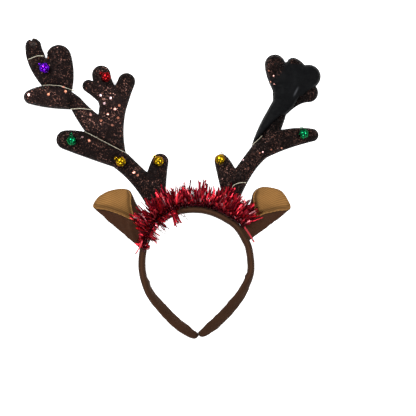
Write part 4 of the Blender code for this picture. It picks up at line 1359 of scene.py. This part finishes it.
def ear_shell(ear, inset, wall, buckle):
    """Closed wall of cloth between two skins of the ear, with its UV in metres, a
    mark that is 1 at the rim, and the skin half-way between the two."""
    outer, run = ear_skin(ear, inset, buckle)
    inner = ear_skin(ear, inset + wall, buckle)[0]
    sections, count = outer.shape[:2]
    points = np.vstack((outer.reshape(-1, 3), inner.reshape(-1, 3)))
    body, i, j = grid_faces(sections, count, wrap_columns=True)
    ring, after = ring_edges(count)
    half = sections * count
    last = (sections - 1) * count
    base = np.column_stack((ring, after, after + half, ring + half))
    lip = np.column_stack((ring + last, ring + last + half, after + last + half, after + last))
    length = np.linalg.norm(np.diff(outer, axis=0), axis=2).sum(axis=0).mean()
    around = np.linalg.norm(np.diff(outer[-1], axis=0), axis=1).sum()
    flat = np.dstack((i * length / (sections - 1), j * around / count))
    edge_uv = np.zeros((2 * count * 4, 2))
    faces = [body, body[:, ::-1] + half, base, lip]
    uv = np.vstack((flat.reshape(-1, 2), flat[:, ::-1].reshape(-1, 2), edge_uv))
    mark = soft_step(0.955, 0.99, np.tile(np.repeat(run[:, 0], count), 2))
    return points, faces, uv, mark, (outer + inner) / 2.0


def near_rim(ear):
    """Points of the rim's near side, which stands over the mouth."""
    rim = np.array(ear["rim"]) * (EAR_LONG * ear["side"], EAR_WIDE, EAR_DEEP)
    rim[:, :2] += band_places([ear["seat"][0]])[0][0]
    rim = smooth_through(rim, 16, closed=True)
    return rim[rim[:, 2] > 0.30 * EAR_DEEP]


def fold_shade(points, ear):
    """Shade in the crease behind the near rim: exp(-((d - EAR_CREASE) /
    EAR_CREASE_HALF)2) of the distance d in plan from the rim."""
    rim = near_rim(ear)[:, :2]
    away = by_parts(
        lambda some: np.linalg.norm(some[:, None, :2] - rim[None], axis=2).min(axis=1), points
    )
    return np.exp(-(((away - EAR_CREASE) / EAR_CREASE_HALF) ** 2))


def hem_surface(ear, inset, radius):
    """Turned edge of the lining: a rounded cord carried round the rim, flatter than
    it is wide, with a slow change of thickness."""
    skin = ear_skin(ear, inset)[0]
    path = skin[-1]
    way = unit(np.roll(path, -1, axis=0) - np.roll(path, 1, axis=0))
    out = unit(skin[-1] - skin[-2])
    side = unit(np.cross(way, out))
    turn = np.arange(12) * 2.0 * math.pi / 12
    near = soft_step(0.10, 0.45, path[:, 2] / EAR_DEEP)
    thick = radius * (0.45 + 0.55 * near + 0.10 * wave_noise(path, 9.0 * MM, 33))[:, None, None]
    points = (path[:, None] + circle(side, 0.8 * out, turn) * thick).reshape(-1, 3)
    return points, [grid_faces(len(path), 12, True, True)[0]]


# Tinsel
class Relief:
    """Level of the highest thing under each point of the plan: the greatest height
    of the given points in each cell of 1 mm and its eight neighbours."""

    def __init__(self, names):
        points = np.vstack([self.points_of(name) for name in names])
        self.low = points[:, :2].min(axis=0) - 3.0 * MM
        size = np.ceil((points[:, :2].max(axis=0) - self.low) / MM).astype(int) + 4
        self.grid = np.zeros(size)
        i, j = ((points[:, :2] - self.low) / MM).astype(int).T
        np.maximum.at(self.grid, (i, j), points[:, 2])
        for axis in (0, 1):
            beside = np.maximum(np.roll(self.grid, 1, axis), np.roll(self.grid, -1, axis))
            self.grid = np.maximum(self.grid, beside)

    @staticmethod
    def points_of(name):
        vertices = bpy.data.objects[name].data.vertices
        points = np.empty(len(vertices) * 3, np.float32)
        vertices.foreach_get("co", points)
        return points.reshape(-1, 3)

    def level(self, plan):
        place = ((plan - self.low) / MM).astype(int)
        place = np.clip(place, 0, np.array(self.grid.shape) - 1)
        return self.grid[place[..., 0], place[..., 1]]


def wire_line(shares):
    """Points on the garland's wire and the outward direction there."""
    rows = smooth_through(WIRE_ROWS, 12)
    out, level = (np.interp(shares, rows[:, 0], rows[:, c]) * MM for c in (1, 2))
    here, outward = band_places(shares)
    return np.column_stack((here + outward * out[:, None], level)), outward


def strip_surface(line, half, twist):
    """Flat strips along many lines of equal count. Each section is a flat triangle
    whose base, half to either side of the line, is turned by the twist."""
    count, steps = line.shape[:2]
    run = unit(np.gradient(line, axis=1))
    side = unit(np.cross(run, np.array((0.11, 0.17, 1.0))))
    face = np.cross(run, side)
    across = side * np.cos(twist)[..., None] + face * np.sin(twist)[..., None]
    above = np.cross(run, across)
    half = np.broadcast_to(half, (count, steps))[..., None]
    across = across * half
    points = np.stack((line - across, line + across, line + above * half * 0.25), axis=2)
    size = 3 * steps
    one = grid_faces(steps, 3, wrap_columns=True)[0]
    ends = np.array(((0, 1, 2), (size - 1, size - 2, size - 3)))
    start = (np.arange(count) * size)[:, None, None]
    faces = [(one[None] + start).reshape(-1, 4), (ends[None] + start).reshape(-1, 3)]
    return points.reshape(-1, 3), faces


def fan_of_strips(row, relief, width, seed):
    """Strips that spread from the wire in tufts that share a place, a direction and a
    reach. Each line is start + t radial + t2 bend, with a droop of t2, and is kept
    above what lies under it."""
    first, last, count, low, high, short, long = row
    chance = np.random.default_rng(seed)
    tufts = count // STRIPS_IN_TUFT
    tuft = chance.integers(0, tufts, count)
    share = first + (last - first) * (np.arange(tufts) + chance.random(tufts))[tuft] / tufts
    share = np.clip(share + chance.normal(scale=1.3 * MM / BAND_LENGTH, size=count), first, last)
    wire, outward = wire_line(share)
    step = 0.003
    way = unit(wire_line(share + step)[0] - wire_line(share - step)[0])
    outward = np.column_stack((outward, np.zeros(count)))
    up = np.cross(outward, way)
    up *= np.sign(up[:, 2:3])
    angle = chance.uniform(low, high, tufts)[tuft] + chance.normal(scale=8.0, size=count)
    angle = np.radians(np.clip(angle, low, high))
    radial = outward * np.cos(angle)[:, None] + up * np.sin(angle)[:, None]
    reach = (short + (long - short) * chance.random(tufts)[tuft]) * MM
    reach *= chance.uniform(0.72, 1.0, count)
    reach *= np.clip((share - 0.322) / 0.045, 0.38, 1.0)
    reach *= 1.0 - 0.35 * np.clip(np.sin(angle), 0.0, 1.0)
    lean = chance.normal(scale=0.17, size=tufts)[tuft] + chance.normal(scale=0.11, size=count)
    lean = way * (lean * reach)[:, None]
    bend = np.cross(radial, way) * (chance.normal(scale=0.12, size=count) * reach)[:, None]
    bend += way * (chance.normal(scale=0.07, size=count) * reach)[:, None]
    t = np.linspace(0.0, 1.0, 8)[None, :, None]
    start = wire + radial * (chance.uniform(-1.4, 2.5, count) * MM)[:, None]
    line = start[:, None] + (radial * reach[:, None] + lean)[:, None] * t + bend[:, None] * t**2
    line[..., 2] -= (reach * chance.uniform(0.05, 0.35, count))[:, None] * t[..., 0] ** 2
    floor = relief.level(line[..., :2]) + 0.5 * MM
    line[..., 2] = np.maximum(line[..., 2], floor + chance.uniform(0.0, 1.5, (count, 1)) * MM)
    line[..., 2] = np.maximum(line[..., 2], 0.8 * MM)
    line[:, 1:-1, 2] = (line[:, :-2, 2] + 2.0 * line[:, 1:-1, 2] + line[:, 2:, 2]) / 4.0
    twist = chance.uniform(-0.9, 0.9, (count, 1))
    twist = twist + chance.normal(scale=0.35, size=(count, 1)) * t[..., 0]
    half = width / 2.0 * chance.uniform(0.75, 1.25, (count, 1)) * (1.0 - 0.2 * t[..., 0])
    return (*strip_surface(line, half, twist), t[0, :, 0])


def stray_strip(run, relief, width, steps=16):
    """A single strip through points of the plan, over all that lies under it and
    falling from 27 to 9 mm where nothing does."""
    plan = along(smooth_through(np.array(run) * MM, 10), np.linspace(0.0, 1.0, steps))
    level = relief.level(plan)
    level = np.maximum(np.maximum(level, np.roll(level, 1)), np.roll(level, -1))
    level = np.maximum(level + 2.2 * MM, np.linspace(27.0, 9.0, steps) * MM)
    line = np.column_stack((plan, level))
    line[1:-1, 2] = (line[:-2, 2] + line[1:-1, 2] + line[2:, 2]) / 3.0
    return strip_surface(line[None], width / 2.0, np.full((1, steps), 0.25))


# Bells
def bell_surface():
    """Ball turned about its z axis, with a flange that stands proud round the
    middle. Crossed slots with round ends are pressed in round the lower pole.
    Returns points, faces and the slots."""
    rows, columns = 72, 112
    polar = np.linspace(0.0, math.pi, rows + 2)[1:-1]
    turn = np.arange(columns) * 2.0 * math.pi / columns
    polar, turn = np.meshgrid(polar, turn, indexing="ij")
    way = np.dstack((np.sin(polar) * np.cos(turn), np.sin(polar) * np.sin(turn), np.cos(polar)))
    flange = 1.0 - soft_step(0.055, 0.085, np.abs(polar - math.pi / 2.0))
    radius = BELL_RADIUS + BELL_FLANGE * flange
    fall = math.pi - polar
    x, y = way[..., 0] * BELL_RADIUS, way[..., 1] * BELL_RADIUS
    long_x, long_y = (
        np.maximum(np.abs(off) - SLOT_HALF, (fall - SLOT_REACH) * BELL_RADIUS) for off in (y, x)
    )
    end = BELL_RADIUS * math.sin(SLOT_REACH)
    holes = [
        np.hypot(x - a * end, y - b * end) - SLOT_END
        for a, b in ((1, 0), (-1, 0), (0, 1), (0, -1))
    ]
    off = np.minimum.reduce([long_x, long_y, *holes])
    off = np.where(fall < math.pi / 2.0, off, BELL_RADIUS)
    slot = 1.0 - soft_step(-0.16 * MM, 0.14 * MM, off)
    radius = radius * (1.0 - 0.14 * slot)
    points = (way * radius[..., None]).reshape(-1, 3)
    poles = np.array(((0.0, 0.0, BELL_RADIUS), (0.0, 0.0, -0.8 * BELL_RADIUS)))
    body = grid_faces(rows, columns, wrap_columns=True)[0]
    ring, after = ring_edges(columns)
    top = np.column_stack((np.full(columns, rows * columns), ring, after))
    last = (rows - 1) * columns
    base = np.column_stack((np.full(columns, rows * columns + 1), after + last, ring + last))
    hollow = np.concatenate((slot.ravel(), (0.0, 1.0)))
    return np.vstack((points, poles)), [body, np.vstack((top, base))], hollow


def resting_level(antler, plan):
    """Height of a ball's middle when it lies on the cloth at a point of the plan: the
    greatest sum of the cloth's level and of the ball's own depth over it."""
    steps = np.linspace(-1.0, 1.0, 25) * BELL_RADIUS
    off = np.dstack(np.meshgrid(steps, steps, indexing="ij")).reshape(-1, 2)
    off = off[np.linalg.norm(off, axis=1) < BELL_RADIUS]
    depth = np.sqrt(BELL_RADIUS**2 - (off**2).sum(axis=1))
    return float((antler.level(plan + off) + depth).max())


def ring_surface(radius, wire, height):
    """Wire ring that stands on the upper pole: a circle of wire carried round."""
    big = np.linspace(0.0, 2.0 * math.pi, 33)[:-1]
    small = np.arange(10) * 2.0 * math.pi / 10
    big, small = np.meshgrid(big, small, indexing="ij")
    out = radius + wire * np.cos(small)
    points = np.dstack((out * np.cos(big), wire * np.sin(small), height + out * np.sin(big)))
    return points.reshape(-1, 3), [grid_faces(32, 10, True, True)[0][:, ::-1]]


# What a user sets
def colour_setting(name, description, default):
    return bpy.props.FloatVectorProperty(
        name=name, description=description, default=default,
        size=3, min=0.0, max=1.0, subtype="COLOR",
    )


def length_setting(name, description, default):
    return bpy.props.FloatProperty(
        name=name, description=description, default=default, min=0.0, unit="LENGTH",
        precision=5,
    )


def number_setting(name, description, default):
    return bpy.props.IntProperty(name=name, description=description, default=default, min=0)


class HEADBAND_PG_band(bpy.types.PropertyGroup):
    cloth: colour_setting("Cloth", "Brown of the band's woven cloth", (0.037, 0.0158, 0.0078))
    wrinkle: length_setting("Wrinkles", "Height of the wrinkles in the cloth", 0.10 * MM)


class HEADBAND_PG_antlers(bpy.types.PropertyGroup):
    cloth: colour_setting("Cloth", "Dark ground of the antlers' cloth", (0.0125, 0.0074, 0.0074))
    glitter: colour_setting("Glitter", "Copper of the specks", (0.36, 0.16, 0.12))
    backing: colour_setting("Backing", "Smooth black side of the cloth", (0.0022, 0.0024, 0.0029))
    cell: length_setting("Cell", "Spacing of the points in the cloth", 0.9 * MM)
    pucker: length_setting("Puckers", "Height of the gathers at the seam", 0.45 * MM)
    pressure: number_setting("Pressure", "Pressure of the stuffing in the cloth simulation", 40)
    sequins: number_setting("Sequins", "Small sequins on each antler", 5200)
    sequin: length_setting("Sequin", "Radius of a small sequin", 0.48 * MM)
    spangle: length_setting("Spangle", "Radius of a large bright spangle", 1.35 * MM)
    thread: colour_setting("Thread", "Pale metal of the wound threads", (0.80, 0.74, 0.58))
    ply: length_setting("Ply", "Radius of one ply of thread", 0.20 * MM)


class HEADBAND_PG_ears(bpy.types.PropertyGroup):
    felt: colour_setting("Outside", "Brown of the ears' outside", (0.041, 0.0155, 0.0075))
    twill: colour_setting("Lining", "Tan of the ears' twill lining", (0.245, 0.118, 0.033))
    buckle: length_setting("Buckles", "Height of the slow waves in the cloth", 0.45 * MM)


class HEADBAND_PG_tinsel(bpy.types.PropertyGroup):
    # Shaded and lit copies of one red foil: painted shade and painted light, handed to the strips
    # at random.
    dark: colour_setting("Dark foil", "Foil that faces away from the light", (0.10, 0.003, 0.010))
    bright: colour_setting("Bright foil", "Foil that catches the light", (0.66, 0.022, 0.036))
    width: length_setting("Width", "Width of a strip of foil", 1.35 * MM)


class HEADBAND_PG_bells(bpy.types.PropertyGroup):
    purple: colour_setting("Purple", "Lacquer of the purple bell", (0.155, 0.005, 0.62))
    red: colour_setting("Red", "Lacquer of the red bell", (0.30, 0.006, 0.009))
    green: colour_setting("Green", "Lacquer of the green bells", (0.003, 0.22, 0.075))
    gold: colour_setting("Gold", "Lacquer of the gold bells", (0.50, 0.30, 0.006))


class HEADBAND_PG_stage(bpy.types.PropertyGroup):
    floor: colour_setting("Floor", "Colour of the plain floor", (0.95, 0.95, 0.95))
    light: bpy.props.FloatProperty(
        name="Light", description="Power of the key light", default=13.0, min=0.0, unit="POWER"
    )
    distance: length_setting("Camera height", "Height of the camera over the floor", 1.218)


# Making the pieces
class HEADBAND_OT_band(bpy.types.Operator):
    """Cover the head band with woven cloth"""

    bl_idname = "headband.band"
    bl_label = "Head band"

    def execute(self, context):
        settings = context.scene.headband_band
        points, faces, uv, ridge = band_surface(settings.wrinkle)
        material = band_cloth(settings.cloth)
        piece = new_piece(
            "band_cover", points, faces, material, uv=uv, values={"ridge": ridge}
        )
        finish_piece(piece, ["band"])
        return {"FINISHED"}


class HEADBAND_OT_antlers(bpy.types.Operator):
    """Make the two padded antlers"""

    bl_idname = "headband.antlers"
    bl_label = "Antlers"

    def execute(self, context):
        settings = context.scene.headband_antlers
        material = antler_cloth(settings.cloth, settings.glitter, settings.backing)
        rows = {
            "left": (-1.0, LEFT_TINES, LEFT_THREADS, LEFT_NICKS, LEFT_FOLD_ROOT),
            "right": (1.0, RIGHT_TINES, RIGHT_THREADS, (), RIGHT_FOLD_ROOT),
        }
        for name, row in rows.items():
            antler = Antler(*row, settings.cell, settings.pucker, settings.pressure)
            ANTLERS[name] = antler
            cover, wear_and_painted_highlight, crease = antler_masks(antler, name)
            # tone holds the cloth's own tone together with painted light and shade.
            antler.shown, antler.tone = cover, tone_and_painted_light(antler, name)
            none = np.zeros(antler.sheet.size)
            points, faces, values = antler.sheet.closed(
                antler.front,
                antler.back,
                {
                    "cover": (cover, none), "wear_and_painted_highlight": (wear_and_painted_highlight, none), "crease": (crease, none),
                    "tone": (antler.tone, none + TONE),
                },
            )
            piece = new_piece("antler_%s_cloth" % name, points, faces, material, values=values)
            finish_piece(piece, ["antler_" + name])
        return {"FINISHED"}


class HEADBAND_OT_sequins(bpy.types.Operator):
    """Scatter sequins and spangles on the antlers' cloth"""

    bl_idname = "headband.sequins"
    bl_label = "Sequins"

    def execute(self, context):
        settings = context.scene.headband_antlers
        material = foil("sequin_foil", 0.30, 0.85)
        spangles = {"left": LEFT_SPANGLES, "right": RIGHT_SPANGLES}
        for number, (name, antler) in enumerate(ANTLERS.items()):
            chance = np.random.default_rng(50 + number)
            places = scatter(antler, antler.shown, settings.sequins, 0.7 * MM, 60 + number)
            count = len(places)
            small = small_discs(
                antler, places, settings.sequin * chance.uniform(0.75, 1.3, count),
                0.22, 0.12 * MM, 6, 70 + number,
            )
            rows = np.array(spangles[name])
            spots = rows[:, :2] * antler.scale
            reach = settings.spangle * (1.0 if name == "left" else 0.65)
            large = small_discs(antler, spots, reach, 0.10, 0.35 * MM, 16, 80 + number)
            faces = [small[1], large[1] + len(small[0])]
            copper = np.array(settings.glitter)
            tone = chance.random((count, 1)) ** 3
            area = 0.75 + 0.35 * wave_noise(places, 22.0 * MM, 23)[:, None]
            # A few sequins get pale pink added: painted glints.
            pale = (chance.random((count, 1)) > 0.93) * chance.random((count, 1))
            tints = copper * (0.015 + 0.8 * tone * np.clip(area, 0.2, 1.3))
            tints = tints + 0.5 * pale * tone * np.array((1.0, 0.55, 0.50))
            # The cloth's tone, with its painted light and shade, is carried onto the sequins.
            tints = tints * antler.sheet.sample(antler.tone, places, TONE)[:, None]
            # Spangles run from pale pink, a painted glint, to copper.
            bright = rows[:, 2:3]
            wide = (1.0 - bright) * SPANGLE_PAINTED_GLINT + bright * SPANGLE_COPPER
            colours = np.vstack((np.repeat(tints, 8, axis=0), np.repeat(wide, 18, axis=0)))
            piece = new_piece(
                "sequins_" + name, np.vstack((small[0], large[0])), faces, material,
                tints={"tint": np.clip(colours, 0.0, 1.0)}, sharp=0.0,
            )
            finish_piece(piece)
        return {"FINISHED"}


class HEADBAND_OT_threads(bpy.types.Operator):
    """Wind the pale threads round the tines"""

    bl_idname = "headband.threads"
    bl_label = "Threads"

    def execute(self, context):
        settings = context.scene.headband_antlers
        material = wound_thread(settings.thread)
        upright = np.array((0.0, 0.0, 1.0))
        for name, antler in ANTLERS.items():
            parts = [
                two_ply(thread_path(antler, run), upright, settings.ply, THREAD_PITCH)
                for run in antler.threads
            ]
            points, faces = join_points(parts)
            piece = new_piece("threads_" + name, points, faces, material)
            finish_piece(piece)
        return {"FINISHED"}


class HEADBAND_OT_ears(bpy.types.Operator):
    """Fold the two ears from brown cloth lined with tan twill"""

    bl_idname = "headband.ears"
    bl_label = "Ears"

    def execute(self, context):
        settings = context.scene.headband_ears
        felt, twill = ear_felt(settings.felt), ear_twill(settings.twill)
        for name, ear in EARS.items():
            layers = (
                ("outside", "ear_outer_", "ear_cloth", felt, 0.0, FELT_WALL),
                ("lining", "ear_lining_", "ear_twill", twill, LINING_INSET, LINING_WALL),
            )
            points, faces = hem_surface(ear, HEM_INSET, HEM_RADIUS)
            values = {"edge": np.zeros(len(points)), "shade": np.full(len(points), -0.25)}
            uv = np.zeros((sum(group.size for group in faces), 2))
            uv[:, 0] = np.repeat(np.arange(len(uv) // 4), 4) * 0.2 * MM
            hem = new_piece("ear_%s_hem" % name, points, faces, twill, uv=uv, values=values)
            finish_piece(hem)
            for layer, node, slot, material, inset, wall in layers:
                points, faces, uv, edge, middle = ear_shell(ear, inset, wall, settings.buckle)
                values = {"edge": edge, "shade": fold_shade(points, ear)}
                piece = new_piece(
                    "ear_%s_%s" % (name, layer), points, faces, material, uv=uv,
                    values=values, sharp=math.radians(50.0),
                )
                finish_piece(piece, [node + name])
        return {"FINISHED"}


class HEADBAND_OT_tinsel(bpy.types.Operator):
    """Wind the garland of red foil along the crown"""

    bl_idname = "headband.tinsel"
    bl_label = "Tinsel"

    def execute(self, context):
        settings = context.scene.headband_tinsel
        material = foil("tinsel_foil", 0.34, coat=0.05, dents=0.1)
        dark, bright = np.array(settings.dark), np.array(settings.bright)
        relief = Relief([
            "band_cover", "antler_left_cloth", "antler_right_cloth",
            "ear_left_outside", "ear_right_outside",
        ])
        shares = np.linspace(WIRE_ROWS[0][0], WIRE_ROWS[-1][0], 220)
        line = wire_line(shares)[0]
        lumps = WIRE_RADIUS * (1.0 + 0.22 * wave_noise(shares[:, None] * BAND_LENGTH, 5.0 * MM, 41))
        ending = np.clip(np.minimum(shares - shares[0], shares[-1] - shares) / 0.03, 0.15, 1.0)
        core = tube(line, np.array((0.0, 0.0, 1.0)), lumps * np.sqrt(ending), 16)
        # The core is coloured a quarter of the shaded foil: painted shade under the strips.
        tints = np.broadcast_to(dark * 0.25, (len(core[0]), 3))
        piece = new_piece("tinsel_core", *core, material, tints={"tint": tints})
        finish_piece(piece, ["tinsel_garland"])
        for half, rows in enumerate((FANS[:4], FANS[4:])):
            chance = np.random.default_rng(90 + half)
            parts, tints = [], []
            for seed, row in enumerate(rows, 100 + 10 * half):
                points, faces, t = fan_of_strips(row, relief, settings.width, seed)
                parts.append((points, faces))
                count = row[2]
                # Each strip is painted between the shaded and the lit foil: painted light and
                # shade.
                painted_lit_share = chance.random((count, 1)) ** 1.7
                tone = dark * (1.0 - painted_lit_share) + bright * painted_lit_share
                # A few strips are painted pale pink: painted glints.
                pale = (chance.random((count, 1)) > 0.95) * chance.random((count, 1))
                tone = tone * (1.0 - pale) + pale * np.array((1.0, 0.42, 0.46))
                # Painted shade towards each strip's root at the wire.
                tone = tone[:, None] * (0.30 + 0.70 * np.clip(2.2 * t, 0.0, 1.0))[None, :, None]
                tints.append(np.repeat(tone.reshape(-1, 3), 3, axis=0))
            if half == 0:
                for run, width, stray_painted_lit_share in STRAYS:
                    parts.append(stray_strip(run, relief, width * 1.5 * MM))
                    # A stray is painted between the shaded foil and STRAY_RED by its brightness:
                    # painted light and shade.
                    tone = dark * 0.3 * (1.0 - stray_painted_lit_share) + STRAY_RED * stray_painted_lit_share
                    tints.append(np.tile(tone, (48, 1)))
            points, faces = join_points(parts)
            piece = new_piece(
                "tinsel_strips_%d" % (half + 1), points, faces, material,
                tints={"tint": np.vstack(tints)}, sharp=0.0,
            )
            finish_piece(piece)
        return {"FINISHED"}


class HEADBAND_OT_bells(bpy.types.Operator):
    """Hang the seven jingle bells on the antlers"""

    bl_idname = "headband.bells"
    bl_label = "Bells"

    def execute(self, context):
        settings = context.scene.headband_bells
        metals = {
            colour: bell_lacquer("bell_" + colour + "_lacquer", getattr(settings, colour))
            for colour in ("purple", "red", "green", "gold")
        }
        ball, ball_faces, hollow = bell_surface()
        loop, loop_faces = ring_surface(LOOP_RADIUS, LOOP_WIRE, BELL_RADIUS + LOOP_HEIGHT)
        points, faces = join_points([(ball, ball_faces), (loop, loop_faces)])
        hollow = np.concatenate((hollow, np.zeros(len(loop))))
        for node, name, across, up, loop_across, loop_up, colour in BELLS:
            side = ANTLERS[name].side
            plan = np.array((side * across * ANTLER_REACH, up * ANTLER_RISE))
            centre = Vector((*plan, resting_level(ANTLERS[name], plan) - BELL_SINK))
            way = Vector((side * loop_across, loop_up, 0.0)).normalized()
            axis = way * math.cos(BELL_LEAN) - Vector((0.0, 0.0, math.sin(BELL_LEAN)))
            turn = Matrix.Translation(centre) @ axis.to_track_quat("Z", "Y").to_matrix().to_4x4()
            placed = points @ np.array(turn.to_3x3()).T + np.array(centre)
            piece = new_piece(
                node + "_metal", placed, faces, metals[colour], values={"hollow": hollow}
            )
            finish_piece(piece, [node])
        return {"FINISHED"}


# Floor, light, camera
def aim(item, place, target):
    """Put a light or camera at a place and turn it to a target."""
    item.location = place
    way = Vector(target) - Vector(place)
    item.rotation_euler = way.to_track_quat("-Z", "Y").to_euler()
    bpy.context.scene.collection.objects.link(item)


def soft_light(name, place, size, power):
    """A square area light that faces the middle of the antlers."""
    light = bpy.data.lights.new(name, "AREA")
    light.shape, light.size, light.energy = "SQUARE", size, power
    aim(bpy.data.objects.new(name, light), place, (-0.02, 0.02, 0.0))


class HEADBAND_OT_stage(bpy.types.Operator):
    """Lay the floor and set the lights and the camera"""

    bl_idname = "headband.stage"
    bl_label = "Floor, lights and camera"

    def execute(self, context):
        settings = context.scene.headband_stage
        half, low = 6.0, -0.3 * MM
        corners = np.array(((-half, -half), (half, -half), (half, half), (-half, half)))
        levels = (low - 10.0 * MM, low)
        points = np.vstack([np.column_stack((corners, np.full(4, z))) for z in levels])
        sides, after = ring_edges(4)
        walls = np.column_stack((sides, after, after + 4, sides + 4))
        faces = [np.vstack(((3, 2, 1, 0), (4, 5, 6, 7))), walls]
        floor = new_piece("floor", points, faces, floor_paper(settings.floor), sharp=0.0)
        soft_light("key_light", (-0.50, 0.55, 1.00), 0.38, settings.light)
        soft_light("fill_light", (0.80, 0.15, 0.90), 0.50, settings.light * 0.5)
        soft_light("low_light", (-0.15, -0.85, 0.85), 0.45, settings.light * 0.45)
        world = bpy.data.worlds.new("studio")
        world.use_nodes = True
        background = world.node_tree.nodes["Background"]
        background.inputs[0].default_value = (1.0, 1.0, 1.0, 1.0)
        background.inputs[1].default_value = 0.28
        context.scene.world = world
        context.scene.view_settings.view_transform = "Standard"
        camera = bpy.data.cameras.new("camera")
        camera.lens, camera.sensor_width = 100.0, 36.0
        camera.clip_start, camera.clip_end = 0.01, 20.0
        view = bpy.data.objects.new("camera", camera)
        view.location = (*CAMERA_PLACE, settings.distance)
        context.scene.collection.objects.link(view)
        context.scene.camera = view
        return {"FINISHED"}


# Panel and main
GROUPS_OF_SETTINGS = (
    HEADBAND_PG_band,
    HEADBAND_PG_antlers,
    HEADBAND_PG_ears,
    HEADBAND_PG_tinsel,
    HEADBAND_PG_bells,
    HEADBAND_PG_stage,
)
MAKERS = (
    HEADBAND_OT_band,
    HEADBAND_OT_antlers,
    HEADBAND_OT_sequins,
    HEADBAND_OT_threads,
    HEADBAND_OT_ears,
    HEADBAND_OT_tinsel,
    HEADBAND_OT_bells,
    HEADBAND_OT_stage,
)


class HEADBAND_PT_panel(bpy.types.Panel):
    """The pieces of the headband and their settings"""

    bl_label = "Antler headband"
    bl_idname = "HEADBAND_PT_panel"
    bl_space_type = "VIEW_3D"
    bl_region_type = "UI"
    bl_category = "Headband"

    def draw(self, context):
        for maker in MAKERS:
            self.layout.operator(maker.bl_idname)
        for group in GROUPS_OF_SETTINGS:
            name = group.__name__.split("_PG_")[1]
            box = self.layout.box()
            box.label(text=name.capitalize())
            settings = getattr(context.scene, "headband_" + name)
            for key in group.__annotations__:
                box.prop(settings, key)


CLASSES = (*GROUPS_OF_SETTINGS, *MAKERS, HEADBAND_PT_panel)


def register():
    for kind in CLASSES:
        bpy.utils.register_class(kind)
    for group in GROUPS_OF_SETTINGS:
        name = "headband_" + group.__name__.split("_PG_")[1]
        setattr(bpy.types.Scene, name, bpy.props.PointerProperty(type=group))


def unregister():
    for group in GROUPS_OF_SETTINGS:
        delattr(bpy.types.Scene, "headband_" + group.__name__.split("_PG_")[1])
    for kind in reversed(CLASSES):
        bpy.utils.unregister_class(kind)


def main():
    register()
    for maker in MAKERS:
        module, name = maker.bl_idname.split(".")
        getattr(getattr(bpy.ops, module), name)()
    bpy.context.view_layer.update()


if __name__ == "__main__":
    main()
